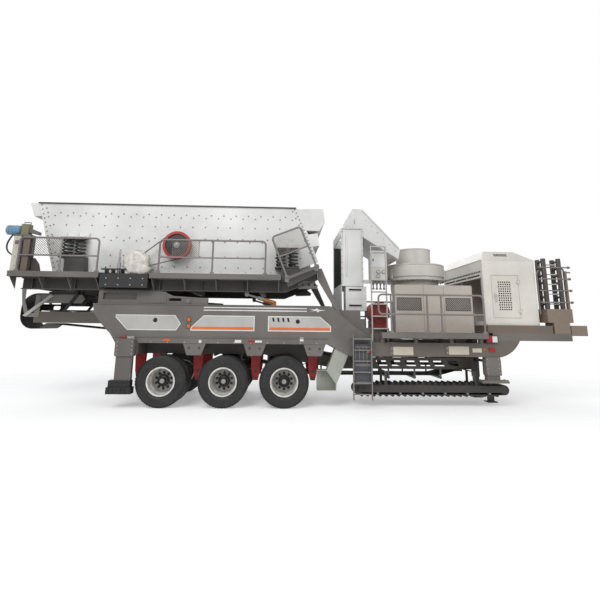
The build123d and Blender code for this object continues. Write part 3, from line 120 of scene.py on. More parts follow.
class Tree:
    """Shader nodes of one finish, kept in FINISH by its name."""

    def __init__(self, name):
        self.material = FINISH[name] = bpy.data.materials.new(name)
        self.material.use_nodes = True
        self.nodes = self.material.node_tree.nodes
        self.links = self.material.node_tree.links
        self.shader = self.nodes["Principled BSDF"]

    def node(self, kind, **values):
        made = self.nodes.new(kind)
        for key, value in values.items():
            setattr(made, key, value)
        return made

    def put(self, value, socket):
        if isinstance(value, bpy.types.NodeSocket):
            self.links.new(value, socket)
        elif isinstance(value, (tuple, list)) and len(value) == 3 and len(socket.default_value) == 4:
            socket.default_value = (*value, 1.0)
        else:
            socket.default_value = value

    def set(self, name, value):
        self.put(value, self.shader.inputs[name])

    def math(self, operation, a, b=0.0, clamp=False):
        made = self.node("ShaderNodeMath", operation=operation, use_clamp=clamp)
        self.put(a, made.inputs[0])
        self.put(b, made.inputs[1])
        return made.outputs[0]

    def mix(self, factor, a, b):
        made = self.node("ShaderNodeMix", data_type="RGBA")
        self.put(factor, made.inputs[0])
        self.put(a, made.inputs[6])
        self.put(b, made.inputs[7])
        return made.outputs[2]

    def place(self, stretch=(1, 1, 1)):
        """Coordinates at rest, in metres, stretched."""
        made = self.node("ShaderNodeMapping")
        made.inputs["Scale"].default_value = stretch
        self.links.new(self.node("ShaderNodeTexCoord").outputs["Object"], made.inputs[0])
        return made.outputs[0]

    def noise(self, scale, detail=3.0, rough=0.55, stretch=(1, 1, 1)):
        made = self.node("ShaderNodeTexNoise")
        self.links.new(self.place(stretch), made.inputs["Vector"])
        made.inputs["Scale"].default_value = scale
        made.inputs["Detail"].default_value = detail
        made.inputs["Roughness"].default_value = rough
        return made.outputs["Fac"]

    def band(self, value, low, high, out_low=0.0, out_high=1.0):
        made = self.node("ShaderNodeMapRange")
        self.put(value, made.inputs[0])
        for i, x in enumerate((low, high, out_low, out_high), 1):
            made.inputs[i].default_value = x
        return made.outputs[0]

    def facing_up(self):
        split = self.node("ShaderNodeSeparateXYZ")
        self.links.new(self.node("ShaderNodeNewGeometry").outputs["Normal"], split.inputs[0])
        return split.outputs[2]

    def axes(self):
        split = self.node("ShaderNodeSeparateXYZ")
        self.links.new(self.place(), split.inputs[0])
        return split.outputs

    def bump(self, height, strength, distance, edge=0.0):
        made = self.node("ShaderNodeBump")
        made.inputs["Strength"].default_value = strength
        made.inputs["Distance"].default_value = distance
        self.links.new(height, made.inputs["Height"])
        if edge:
            bevel = self.node("ShaderNodeBevel", samples=4)
            bevel.inputs["Radius"].default_value = edge
            self.links.new(bevel.outputs[0], made.inputs["Normal"])
        self.set("Normal", made.outputs[0])

    def distance(self, a, b):
        """Distance from an axis, from the two offsets across it."""
        return self.math("SQRT", self.math("ADD", self.math("MULTIPLY", a, a), self.math("MULTIPLY", b, b)))

    def finish(self, tone, rough, metallic=0.0, coat=0.0):
        for name, value in (("Base Color", tone), ("Roughness", rough), ("Metallic", metallic), ("Coat Weight", coat)):
            self.set(name, value)
        return self.material


# Materials
DUST = (0.42, 0.36, 0.29)
SOIL = (0.13, 0.085, 0.055)


def shade(colour, factor):
    return tuple(c * factor for c in colour)


def paint(name, colour, rough=0.42, dust=0.35, soil=0.25, streak=0.25, edge=0.006, coat=0.15, metallic=0.0,
          other=None, limit=0.0, way=0):
    """Sprayed paint with cloudy tone, run-down streaks, dust on top faces and soil near the ground.
    The other colour is used past the limit, along X for way 0 and along Z for way 2."""
    t = Tree(name)
    cloud = t.band(t.noise(0.9, 4), 0.3, 0.7)
    fine = t.noise(55, 2)
    x, y, z = t.axes()
    tone = t.mix(cloud, shade(colour, 0.8), tuple(min(1, c * 1.08) for c in colour))
    if other:
        past = t.math("GREATER_THAN", (x, y, z)[way], limit)
        tone = t.mix(past, tone, t.mix(cloud, shade(other, 0.8), other))
    runs = t.math("MULTIPLY", t.band(t.noise(3.2, 5, 0.65, (5.5, 5.5, 0.45)), 0.55, 0.78), streak)
    tone = t.mix(runs, tone, tuple(c * 0.55 + s * 0.25 for c, s in zip(colour, SOIL)))
    patch = t.band(t.noise(6, 5, 0.7), 0.56, 0.7)
    low = t.math("MULTIPLY", t.band(z, 2.4, 0.2), soil)
    tone = t.mix(t.math("MULTIPLY", patch, low), tone, SOIL)
    up = t.math("MULTIPLY", t.band(t.facing_up(), 0.55, 0.95), t.band(t.noise(4, 5, 0.6), 0.32, 0.62))
    tone = t.mix(t.math("MULTIPLY", up, dust), tone, DUST)
    t.set("Coat Roughness", 0.25)
    t.bump(t.math("ADD", t.math("MULTIPLY", fine, 0.35), t.noise(7, 2)), 0.18, 0.004, edge)
    return t.finish(tone, t.band(t.math("ADD", cloud, fine), 0.4, 1.6, rough - 0.08, rough + 0.14), metallic, coat)


def rubber(name, colour=(0.022, 0.021, 0.021), rough=0.62, dust=0.25):
    t = Tree(name)
    cloud = t.band(t.noise(2.2, 5, 0.65), 0.35, 0.7)
    tone = t.mix(cloud, shade(colour, 0.7), shade(colour, 1.7))
    tone = t.mix(t.math("MULTIPLY", t.band(t.noise(9, 6, 0.7), 0.48, 0.74), dust), tone, (0.16, 0.14, 0.12))
    t.bump(t.noise(240, 2), 0.25, 0.0015)
    return t.finish(tone, t.band(cloud, 0, 1, rough - 0.1, rough + 0.12))


def bare_steel(name, colour=(0.36, 0.35, 0.33), rough=0.45, rust=0.35):
    t = Tree(name)
    cloud = t.band(t.noise(14, 5, 0.65), 0.4, 0.7)
    tone = t.mix(t.math("MULTIPLY", cloud, rust), colour, (0.19, 0.085, 0.04))
    t.bump(t.noise(90, 3), 0.2, 0.002)
    return t.finish(tone, t.band(t.noise(40, 3), 0.3, 0.7, rough - 0.12, rough + 0.15), 0.75)


def lamp_lens(name, colour):
    t = Tree(name)
    ribs = t.node("ShaderNodeTexWave", wave_type="BANDS", bands_direction="X")
    t.links.new(t.place(), ribs.inputs["Vector"])
    ribs.inputs["Scale"].default_value = 60
    t.bump(ribs.outputs["Fac"], 0.3, 0.002)
    # The rib valleys are darkened with the wave of the bump: painted shade.
    return t.finish(t.mix(t.band(ribs.outputs["Fac"], 0, 1), shade(colour, 0.8), colour), 0.18, coat=0.6)


def film(name, colour, folds=9.0):
    """Thin plastic film, creased, with painted shade in the creases."""
    t = Tree(name)
    crease = t.noise(folds, 6, 0.62)
    # The creases are darkened with the noise of the bump: painted shade.
    tone = t.mix(t.band(crease, 0.35, 0.68), shade(colour, 0.62), colour)
    tone = t.mix(t.math("MULTIPLY", t.band(t.noise(2.6, 3), 0.5, 0.75), 0.5), tone, (0.5, 0.4, 0.28))
    t.bump(crease, 0.7, 0.02)
    return t.finish(tone, t.band(crease, 0.3, 0.7, 0.18, 0.42), coat=0.4)


def wheel_paint(name):
    """Silver rim lip, grey disc, black hub, nuts and a grey cap, by radius from the axle."""
    t = Tree(name)
    x, y, z = t.axes()
    dx = t.math("PINGPONG", t.math("SUBTRACT", x, AXLE_X[0]), AXLE_PITCH / 2)
    r = t.distance(dx, t.math("SUBTRACT", z, AXLE_Z))
    cloud = t.band(t.noise(11, 5, 0.65), 0.38, 0.7)
    lip = t.mix(cloud, (0.52, 0.5, 0.47), (0.78, 0.77, 0.74))
    disc = t.mix(cloud, (0.22, 0.21, 0.2), (0.36, 0.35, 0.33))
    tone = t.mix(t.band(r, 0.235, 0.275), disc, lip)
    proud = t.band(t.math("ABSOLUTE", y), 0.992, 0.996)
    tone = t.mix(t.math("MULTIPLY", proud, t.band(r, 0.205, 0.19)), tone, (0.018, 0.018, 0.018))
    tone = t.mix(t.math("MULTIPLY", t.band(r, 0.052, 0.046), proud), tone, (0.3, 0.29, 0.28))
    t.bump(t.noise(60, 2), 0.15, 0.002, 0.004)
    return t.finish(tone, t.band(cloud, 0, 1, 0.3, 0.48), 0.15)


def pulley_paint(name):
    """Red rim, dark web and grey hub, by radius from the shaft."""
    t = Tree(name)
    x, y, z = t.axes()
    r = t.distance(t.math("SUBTRACT", x, EXCITER[0]), t.math("SUBTRACT", z, EXCITER[1]))
    cloud = t.band(t.noise(18, 4, 0.6), 0.35, 0.7)
    red = t.mix(cloud, (0.3, 0.022, 0.015), (0.48, 0.04, 0.022))
    dark = t.mix(cloud, (0.02, 0.019, 0.018), (0.05, 0.045, 0.04))
    grey = t.mix(cloud, (0.25, 0.24, 0.23), (0.42, 0.41, 0.39))
    tone = t.mix(t.math("GREATER_THAN", r, 0.262), dark, red)
    tone = t.mix(t.math("LESS_THAN", r, 0.0705), tone, grey)
    t.bump(t.noise(70, 2), 0.15, 0.002, 0.003)
    return t.finish(tone, t.band(cloud, 0, 1, 0.34, 0.52), 0.1)


EXCITER = (-2.81, 3.51)
AXLE_Z = 0.535
AXLE_PITCH = 1.31
AXLE_X = [-2.93, -1.62, -0.31]

# Finishes named as the record's slots
paint("chassis_grey", (0.15, 0.137, 0.128), streak=0.35)
paint("black_steel", (0.022, 0.021, 0.021), rough=0.5, dust=0.3, soil=0.3)
paint("red_paint", (0.4, 0.02, 0.014), soil=0.2, dust=0.2)
paint("pulley_red", (0.56, 0.045, 0.022), soil=0.0, dust=0.2)
paint("screen_white", (0.71, 0.71, 0.69), rough=0.38, soil=0.15, streak=0.12)
bare_steel("screen_mesh")
paint("crusher_grey", (0.59, 0.57, 0.52), rough=0.4, soil=0.2)
paint("cream_paint", (0.66, 0.61, 0.53), rough=0.36, soil=0.2, streak=0.15)
paint("ladder_grey", (0.2, 0.19, 0.18))
rubber("belt_rubber")
paint("motor_wrap", (0.6, 0.58, 0.54))
paint("cylinder_steel", (0.22, 0.22, 0.22), metallic=0.3)
rubber("tyre", (0.012, 0.012, 0.012), 0.6, 0.1)
wheel_paint("wheel_silver")
# Other finishes
paint("panel_grey", (0.47, 0.46, 0.44), dust=0.2, soil=0.1)
paint("edge_white", (0.74, 0.74, 0.72), dust=0.2, soil=0.1)
paint("orange", (0.72, 0.16, 0.03), dust=0.2, soil=0.1)
# Black for nuts, ribs and marks; also used as painted shade in holes, slots and behind the perforated door.
paint("black_and_hole_shade", (0.012, 0.011, 0.011), rough=0.7, coat=0.0)
lamp_lens("lens_red", (0.42, 0.012, 0.015))
lamp_lens("lens_white", (0.8, 0.79, 0.77))
lamp_lens("lens_amber", (0.72, 0.14, 0.02))
paint("rail_grey", (0.205, 0.19, 0.18), rough=0.35, dust=0.3, edge=0.0)
bare_steel("bolt_grey", (0.46, 0.45, 0.44), 0.4, 0.25)
bare_steel("wire_grey", (0.24, 0.225, 0.21), 0.5, 0.3)
film("wrap_film", (0.74, 0.7, 0.64))
film("blue_film", (0.16, 0.34, 0.52), 14)
paint("dark_brown", (0.06, 0.048, 0.042), rough=0.5)
rubber("hose_black", (0.016, 0.016, 0.017), 0.4, 0.15)
paint("cream_plate", (0.62, 0.56, 0.46), soil=0.2, dust=0.2)
paint("bolt_pale", (0.27, 0.26, 0.25), rough=0.35, dust=0.1, soil=0.1, edge=0.0)
paint("bolt_dark", (0.06, 0.058, 0.055), rough=0.4, dust=0.2, edge=0.0)
paint("base_brown", (0.16, 0.125, 0.098), soil=0.3)
paint("chute_green", (0.34, 0.35, 0.3), soil=0.3)
paint("olive", (0.2, 0.19, 0.11))
paint("box_cream", (0.62, 0.58, 0.49), dust=0.15)
paint("shadow_green", (0.035, 0.045, 0.038), rough=0.6)
paint("guard_wire", (0.4, 0.37, 0.33), edge=0.0, dust=0.1)
paint("dial_white", (0.72, 0.72, 0.7), rough=0.2, coat=0.5, dust=0.05)
hose_piece.data.materials.append(FINISH["hose_black"])
# Nodes with a finish of their own within their slot
OWN = {
    # Past x 2.15 the guard takes a darker cream: painted shade.
    "crusher_guard": paint("guard_cream_and_shade", (0.66, 0.64, 0.6), other=(0.52, 0.47, 0.41), limit=2.15, soil=0.15),
    "power_cabinet": paint("cabinet_white", (0.7, 0.67, 0.61), rough=0.36, soil=0.2, streak=0.15),
    "cabinet_door": paint("door_white", (0.68, 0.645, 0.58), rough=0.36, soil=0.2, streak=0.12),
    "exciter_pulley": pulley_paint("exciter_pulley"),
    "discharge_chute": FINISH["chute_green"],
    "front_boxes": paint("box_finish", (0.06, 0.062, 0.07), rough=0.5, other=(0.25, 0.19, 0.145), limit=3.0),
    # The screen subframe's dark grey is darkened further: painted shadow of the walkway above.
    "screen_subframe": paint("subframe_dark_and_shade", (0.06, 0.055, 0.05), rough=0.5, soil=0.1),
    "ladders": paint("ladder_finish", (0.19, 0.18, 0.17), other=(0.5, 0.48, 0.45), limit=1.6, soil=0.3),
    "side_conveyor_frame": paint("conveyor_brown", (0.036, 0.03, 0.027), rough=0.5, soil=0.25),
    "main_conveyor_frame": paint("frame_brown", (0.115, 0.1, 0.086), soil=0.3),
    "head_section_frame": paint("head_grey", (0.2, 0.19, 0.17), soil=0.1),
    "drive_motor": paint("motor_red", (0.2, 0.014, 0.01), dust=0.2),
    "lift_cylinders": paint("lift_finish", (0.2, 0.2, 0.19), other=(0.36, 0.13, 0.03), limit=-0.8, metallic=0.2),
    "gooseneck": paint("neck_finish", (0.155, 0.138, 0.122), other=(0.16, 0.125, 0.098), limit=1.618, way=2),
    "low_beams": paint("low_brown", (0.135, 0.114, 0.096)),
    # The cross members take a darker brown than the chassis paint: painted shade under the deck.
    "cross_members": paint("cross_shaded_brown", (0.085, 0.072, 0.062)),
    "axles": paint("axle_black", (0.03, 0.028, 0.026), soil=0.5),
    "leaf_springs": paint("spring_black", (0.03, 0.028, 0.026), soil=0.5),
}
for word, _ in WORDS:
    OWN[f"jack_leg_rear_{word}"] = paint(f"rear_leg_{word}", (0.008, 0.008, 0.008), dust=0.1, soil=0.05,
                                         other=(0.13, 0.118, 0.108), limit=0.571, way=2)


def dress_cad_nodes():
    finish_of = {s["node"]: s["material_slot"] for s in frame["record"]["subparts"]}
    for name, obj in frame["nodes"].items():
        material = OWN.get(name, FINISH[finish_of[name]])
        if not obj.material_slots:
            obj.data.materials.append(material)
        for place in obj.material_slots:
            place.material = material


dress_cad_nodes()


# Mesh building
def span(side, a, b):
    """The span from a to b out from the middle plane on one side, in rising order."""
    return sorted((side * a, side * b))


def rect(x0, x1, z0, z1):
    return [(x0, z0), (x1, z0), (x1, z1), (x0, z1)]


def slant(x, width, lean, z0, z1):
    return [(x, z0), (x + width, z0), (x + width + lean, z1), (x + lean, z1)]


class Shape:
    """Points and faces collected for one piece, in metres."""

    def __init__(self):
        self.points, self.faces = [], []

    def add(self, points, faces):
        base = len(self.points)
        self.points += [tuple(p) for p in points]
        self.faces += [tuple(base + i for i in f) for f in faces]

    def loft(self, rings, caps=True, around=False):
        """Skin over rings with as many points each; around joins the last ring to the first."""
        n = len(rings[0])
        faces = []
        count = len(rings) if around else len(rings) - 1
        for k in range(count):
            a, b = k * n, (k + 1) % len(rings) * n
            faces += [(a + i, a + (i + 1) % n, b + (i + 1) % n, b + i) for i in range(n)]
        if caps and not around:
            faces += [tuple(range(n - 1, -1, -1)), tuple(range(len(rings) * n - n, len(rings) * n))]
        self.add([p for ring in rings for p in ring], faces)

    def box(self, low, high, chamfer=0.0):
        """Box with its long edges chamfered."""
        (x0, y0, z0), (x1, y1, z1) = low, high
        c = min(chamfer, abs(x1 - x0) / 3, abs(y1 - y0) / 3, abs(z1 - z0) / 3)

        def ring(y, d):
            if not c:
                return [(x0, y, z0), (x1, y, z0), (x1, y, z1), (x0, y, z1)]
            e = c + d
            return [(x0 + e, y, z0 + d), (x1 - e, y, z0 + d), (x1 - d, y, z0 + e), (x1 - d, y, z1 - e),
                    (x1 - e, y, z1 - d), (x0 + e, y, z1 - d), (x0 + d, y, z1 - e), (x0 + d, y, z0 + e)]

        if c:
            self.loft([ring(y0, c), ring(y0 + c, 0), ring(y1 - c, 0), ring(y1, c)])
        else:
            self.loft([ring(y0, 0), ring(y1, 0)])

    def wall(self, side, x, y, z, chamfer=0.0):
        """Box over the spans x, y and z, with y counted out from the middle plane on one side."""
        y0, y1 = span(side, *y)
        self.box((x[0], y0, z[0]), (x[1], y1, z[1]), chamfer)

    def prism(self, outline, y0, y1):
        """Outline in X and Z, thick from y0 to y1."""
        self.loft([[(x, y, z) for x, z in outline] for y in (y0, y1)])

    def tube(self, path, radius, sides=10, closed=False, caps=True):
        points = [Vector(p) for p in path]
        n = len(points)
        rings, up = [], None
        for i, p in enumerate(points):
            before = points[i - 1] if i or closed else p
            after = points[(i + 1) % n] if i < n - 1 or closed else p
            ahead = (after - before).normalized()
            if up is None:
                up = ahead.orthogonal().normalized()
            up = (up - ahead * up.dot(ahead)).normalized()
            side = ahead.cross(up)
            r = radius[i] if isinstance(radius, (list, tuple)) else radius
            rings.append([p + (up * cos(a) + side * sin(a)) * r for a in
                          (tau * k / sides for k in range(sides))])
        self.loft(rings, caps=caps and not closed, around=closed)

    def lathe(self, outline, at, axis, sides, closed=False):
        """Outline of (radius, distance along axis) turned about the axis through at."""
        axis = Vector(axis).normalized()
        u = axis.orthogonal().normalized()
        v = axis.cross(u)
        at = Vector(at)
        rings = [[at + axis * d + (u * cos(a) + v * sin(a)) * max(r, 0.0004)
                  for a in (tau * k / sides for k in range(sides))] for r, d in outline]
        self.loft(rings, caps=not closed, around=closed)

    def bolt(self, at, axis, r, h):
        """Hex head on a round washer."""
        self.lathe([(r * 1.45, 0), (r * 1.45, h * 0.25)], at, axis, 10)
        self.lathe([(r, h * 0.2), (r, h * 0.85), (r * 0.75, h)], at, axis, 6)

    def disc(self, at, axis, r, h, sides):
        self.lathe([(r, 0), (r, h)], at, axis, sides)

    def bolt_row(self, at, step, count, axis, r, h):
        for k in range(count):
            self.bolt(Vector(at) + Vector(step) * k, axis, r, h)

    def bolt_ring(self, at, axis, radius, count, r, h, phase=0.0):
        """Bolts on a circle round an axis along Y or Z; phase is in steps of the circle."""
        for k in range(count):
            a = tau * (k + phase) / count
            across = (cos(a), 0, sin(a)) if axis[1] else (cos(a), sin(a), 0)
            self.bolt(Vector(at) + Vector(across) * radius, axis, r, h)

    def mesh_panel(self, corners, pitch, wire):
        """Diamond mesh of flat wires in the plane of four corners, in order."""
        a, b, c, d = (Vector(p) for p in corners)
        width, height = (b - a).length, (d - a).length
        u, v = (b - a).normalized(), (d - a).normalized()
        off = u.cross(v).normalized() * wire * 0.5
        for way in (1, -1):
            k = -height
            while k < width:
                s0, s1 = (k, k + height) if way > 0 else (k + height, k)
                p0, p1 = (s0, 0.0), (s1, height)
                run = p1[0] - p0[0]
                lo = (min(max(p0[0], 0), width) - p0[0]) / run
                hi = (min(max(p1[0], 0), width) - p0[0]) / run
                if abs(hi - lo) > 1e-4:
                    q0 = a + u * (p0[0] + run * lo) + v * (height * lo) + off * way
                    q1 = a + u * (p0[0] + run * hi) + v * (height * hi) + off * way
                    self.tube([q0, q1], wire / 2, 4)
                k += pitch


def make(name, shape, finish, body=BASE, smooth=32, stands_for=()):
    """Turns a shape into a piece that rides on a body, and hides the parts it stands for."""
    data = bpy.data.meshes.new(name)
    data.from_pydata(shape.points, [], shape.faces)
    mesh = bmesh.new()
    mesh.from_mesh(data)
    bmesh.ops.recalc_face_normals(mesh, faces=mesh.faces)
    mesh.to_mesh(data)
    mesh.free()
    data.polygons.foreach_set("use_smooth", [True] * len(data.polygons))
    data.set_sharp_from_angle(angle=radians(smooth))
    data.materials.append(FINISH[finish])
    piece = add_object(name, data)
    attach(piece, body)
    if stands_for:
        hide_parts(*stands_for)
    return piece


def bent(points, radius, steps=6):
    """Path with its inner corners rounded."""
    pts = [Vector(p) for p in points]
    path = [pts[0]]
    for a, b, c in zip(pts, pts[1:], pts[2:]):
        u, v = (a - b).normalized(), (c - b).normalized()
        half = u.angle(v) / 2
        d = min(radius / tan(half), (a - b).length * 0.49, (c - b).length * 0.49)
        r = d * tan(half)
        centre = b + (u + v).normalized() * (r / sin(half))
        start, end = b + u * d, b + v * d
        s, e = start - centre, end - centre
        full = s.angle(e)
        for k in range(steps + 1):
            f = k / steps
            path.append(centre + (s * sin((1 - f) * full) + e * sin(f * full)) / sin(full))
    return path + [pts[-1]]


# Tyres with grooves and shoulder lugs
TYRE_R, TYRE_HALF, BEAD_R = AXLE_Z, 0.135, 0.292
TYRE_SEGMENTS, LUGS = 80, 52
LUG_CORNERS = ((-1, -0.006, 0), (1, -0.006, 0), (1, 0.022, 0.45), (-1, 0.022, 0.45))


def tyre_outline():
    half = TYRE_HALF
    side = [(BEAD_R, -half + 0.037), (BEAD_R + 0.014, -half + 0.036), (BEAD_R + 0.028, -half + 0.022),
            (0.345, -half + 0.008), (0.375, -half + 0.002), (0.378, -half - 0.0015), (0.386, -half - 0.0015),
            (0.389, -half + 0.001), (0.43, -half), (0.47, -half + 0.005), (0.474, -half + 0.003),
            (0.482, -half + 0.004), (0.486, -half + 0.009), (0.508, -half + 0.018), (0.524, -half + 0.03)]
    tread = []
    for middle in (-0.066, -0.022, 0.022, 0.066):
        tread += [(TYRE_R, middle - 0.0075), (TYRE_R - 0.015, middle - 0.0055),
                  (TYRE_R - 0.015, middle + 0.0055), (TYRE_R, middle + 0.0075)]
    edge = [(TYRE_R - 0.002, -half + 0.036)]
    return side + edge + tread + [(r, -d) for r, d in reversed(edge)] + [(r, -d) for r, d in reversed(side)]


def make_tyres():
    for word, side in WORDS:
        for i, ax in enumerate(AXLE_X, 1):
            shape = Shape()
            for mid in (side * 1.135, side * 0.815):
                shape.lathe(tyre_outline(), (ax, mid, AXLE_Z), (0, 1, 0), TYRE_SEGMENTS, closed=True)
                for k in range(LUGS):
                    a = tau * k / LUGS
                    out, along = Vector((cos(a), 0, sin(a))), Vector((-sin(a), 0, cos(a)))
                    for s in SIDES:
                        foot = Vector((ax, mid + s * 0.104, AXLE_Z)) + out * 0.512
                        shape.loft([[foot + out * r + along * (w * p) + Vector((0, s * (q - r * cut), 0))
                                     for p, q, cut in LUG_CORNERS]
                                    for r, w in ((0.0, 0.011), (0.0226, 0.009))])
            make(f"tyre_pair_{word}_{i}", shape, "tyre", f"wheel_set_{word}_{i}", stands_for=(f"tyres_{word}_{i}",))


make_tyres()


# Screen: bolts, top flange and end frames
SCREEN_FACE = 0.95
SCREEN_TOP_Z = 4.5
BOLT_PITCH = 0.292


def screen_edge(z, end):
    """X of the side plate's rear or front edge at height z."""
    corners = {"rear": [(-5.62, 2.87), (-5.88, 3.7), (-6.01, 4.13), (-6.13, 4.5)],
               "front": [(-0.4, 2.87), (0.44, 3.2), (0.2, 3.87), (0.09, 4.11), (-0.09, 4.5)]}[end]
    for (x0, z0), (x1, z1) in zip(corners, corners[1:]):
        if z0 <= z <= z1:
            return x0 + (x1 - x0) * (z - z0) / (z1 - z0)
    return corners[-1][0]


def screen_bolt_places():
    """Bolt rows on the side plate: single rows, staggered pairs and dense edge rows."""
    places = []
    for z, step, lift in ((4.27, 1.0, 0.0), (4.2, 1.0, 0.5), (3.98, 1.0, 0.25), (3.7, 1.0, 0.0), (3.63, 1.0, 0.5),
                          (3.28, 1.0, 0.2), (3.03, 1.0, 0.0), (2.93, 2.0, 0.5)):
        x = screen_edge(z, "rear") + 0.16 + BOLT_PITCH * lift
        while x < screen_edge(z, "front") - 0.12:
            places.append((x, z))
            x += BOLT_PITCH * step
    for end, way in (("rear", 1), ("front", -1)):
        for k in range(15):
            z = 3.3 + 0.083 * k if end == "front" else 2.98 + 0.105 * k
            x = screen_edge(z, end) + way * 0.055
            places.append((x, z))
            if k % 2:
                places.append((x + way * 0.085, z + 0.03))
    brackets = ((-5.13, 3.65), (-0.29, 3.485))
    return [(x, z) for x, z in places if hypot(x - EXCITER[0], z - EXCITER[1]) > 0.36
            and not any(abs(x - bx) < 0.3 and -0.03 < z - bz < 0.18 for bx, bz in brackets)]


def make_screen_bolts():
    shape = Shape()
    for side in SIDES:
        for x, z in screen_bolt_places():
            shape.bolt((x, side * SCREEN_FACE, z), (0, side, 0), 0.013, 0.012)
        shape.bolt_ring((EXCITER[0], side * SCREEN_FACE, EXCITER[1]), (0, side, 0), 0.285, 12, 0.014, 0.014)
    make("screen_bolts", shape, "bolt_pale", smooth=20)


def make_screen_frame():
    """Dark flange on the top edge, folded ribs inside and stiffeners outside the plates."""
    dark, white = Shape(), Shape()
    face, top = SCREEN_FACE, SCREEN_TOP_Z
    for side in SIDES:
        dark.wall(side, (-6.128, -0.092), (face - 0.016, face + 0.034), (top - 0.012, top + 0.01))
        white.prism([(-5.6, 2.885), (-0.42, 2.885), (-0.36, 2.96), (-5.63, 2.96)], *span(side, face, face + 0.01))
        white.wall(side, (-5.59, -0.41), (face, face + 0.045), (2.872, 2.888))
        white.prism([(-3.0, 3.06), (-2.62, 3.06), (-2.38, 3.38), (-2.42, 3.72), (-3.18, 3.72), (-3.24, 3.38)],
                    *span(side, face, face + 0.008))
        for k in range(8):
            x = -5.2 + 0.66 * k
            white.wall(side, (x, x + 0.06), (face - 0.016, face - 0.076), (4.16, 4.49), 0.006)
    make("screen_top_flange", dark, "dark_brown")
    make("screen_ribs", white, "screen_white")


def make_screen_cloths():
    """Woven wire on the top deck, seen from above, with clamp bars along the sides."""
    low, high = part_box("screen_decks")
    wire = Shape()
    z, y_in, pitch = high.z + 0.006, SCREEN_FACE - 0.016, 0.055
    x = low.x + 0.03
    while x < high.x - 0.02:
        wire.box((x, -y_in, z - 0.005), (x + 0.012, y_in, z + 0.005))
        x += pitch
    y = -y_in + 0.04
    while y < y_in - 0.02:
        wire.box((low.x, y, z), (high.x, y + 0.012, z + 0.01))
        y += pitch
    for side in SIDES:
        wire.wall(side, (low.x, high.x), (y_in, y_in - 0.07), (z + 0.01, z + 0.05), 0.008)
    make("screen_cloth", wire, "wire_grey")


# Coil springs in place of the plain stacks
def helix(x, y, z0, z1, r, wire, turns, steps=18):
    n = int(turns * steps)
    return [(x + r * cos(tau * k / steps), y + r * sin(tau * k / steps), z0 + wire / 2 + (z1 - z0 - wire) * k / n)
            for k in range(n + 1)]


COIL_R, COIL_H = 0.118, 0.445


def make_springs():
    wire = 0.036
    coils, caps = Shape(), Shape()
    cup = [(0.1, 0), (0.1, 0.01), (0.06, 0.012), (0.055, 0.075)]
    for x, z in ((-5.13, 3.205), (-0.29, 3.04)):
        for side in SIDES:
            for dx in (-0.145, 0.145):
                y = side * 1.08
                coils.tube(helix(x + dx, y, z + 0.004, z + COIL_H - 0.004, COIL_R - wire / 2, wire, 5.2), wire / 2, 8)
                caps.lathe(cup, (x + dx, y, z), (0, 0, 1), 24)
                caps.lathe(cup, (x + dx, y, z + COIL_H), (0, 0, -1), 24)
    make("screen_coils", coils, "black_steel", stands_for=("screen_springs",))
    make("spring_cups", caps, "dark_brown")


# Round tube railings in place of the plain ones
RAIL_R = 0.021
DECK_OUT = 1.45


RAIL_Y = DECK_OUT - RAIL_R
RAIL_BEND = 0.085


def rail_panel(shape, x0, length, z, h, mid_h, posts, tilt=0.0, looped=False):
    """Bent tube with a middle rail, inner posts and foot clamps, on both sides of the machine."""
    a = radians(tilt)
    for side in SIDES:
        def at(u, w):
            return (x0 + u * cos(a) - w * sin(a), side * RAIL_Y, z + u * sin(a) + w * cos(a))
        if looped:
            path = [at(length, mid_h), at(0, mid_h), at(0, h), at(length, h), at(length, 0)]
        else:
            path = [at(0, 0), at(0, h), at(length, h), at(length, 0)]
            shape.tube([at(0, mid_h), at(length, mid_h)], RAIL_R - 0.003, 10)
        shape.tube(bent(path, RAIL_BEND), RAIL_R, 12)
        for u in posts:
            shape.tube([at(u, 0), at(u, h)], RAIL_R - 0.001, 10)
        for u in ([] if looped else [0]) + [*posts, length]:
            x, y, foot_z = at(u, 0)
            shape.box((x - 0.045, y - 0.0205, foot_z - 0.115), (x + 0.045, y + 0.0205, foot_z + 0.035), 0.006)


TILT = 22
TILT_AT = (-0.2875, 2.784)


def make_railings():
    shape = Shape()
    deck, crusher_deck = 2.83, 1.61
    rail_panel(shape, -6.12, 1.7, deck, 0.74, 0.35, (0.9,))
    rail_panel(shape, -3.1, 2.33, deck, 0.74, 0.35, (1.165,))
    rail_panel(shape, TILT_AT[0], 0.696, TILT_AT[1], 0.96, 0.48, (), TILT)
    rail_panel(shape, 1.73, 2.34, crusher_deck, 0.82, 0.395, (0.275, 1.08, 1.395), looped=True)
    make("tube_railings", shape, "rail_grey", stands_for=("railings",))


def make_mesh_panels():
    """Wire mesh between the middle and top rails."""
    wire, edge = Shape(), Shape()
    a = radians(TILT)
    for side in SIDES:
        y = side * (RAIL_Y - RAIL_R * 0.6)
        panels = [[(x, y, 3.185), (x + w, y, 3.185), (x + w, y, 3.568), (x, y, 3.568)]
                  for x, w in ((-5.84, 0.61), (-2.83, 0.59))]
        u, v = Vector((cos(a), 0, sin(a))), Vector((-sin(a), 0, cos(a)))
        foot = Vector((TILT_AT[0], y, TILT_AT[1]))
        panels.append([foot + u * p + v * q for p, q in ((0.02, 0.485), (0.67, 0.485), (0.67, 0.955), (0.02, 0.955))])
        for corners in panels:
            wire.mesh_panel(corners, 0.052, 0.008)
            edge.tube(corners, 0.009, 4, closed=True)
    make("mesh_wires", wire, "wire_grey")
    make("mesh_edges", edge, "rail_grey")


# Side girders: panel inserts, stripes, reflectors and bolts
GIRDER_FACE = 1.2
GIRDER_REAR, GIRDER_FRONT = -4.53, 0.69
PANEL_LOW, PANEL_HIGH = 1.6, 1.935


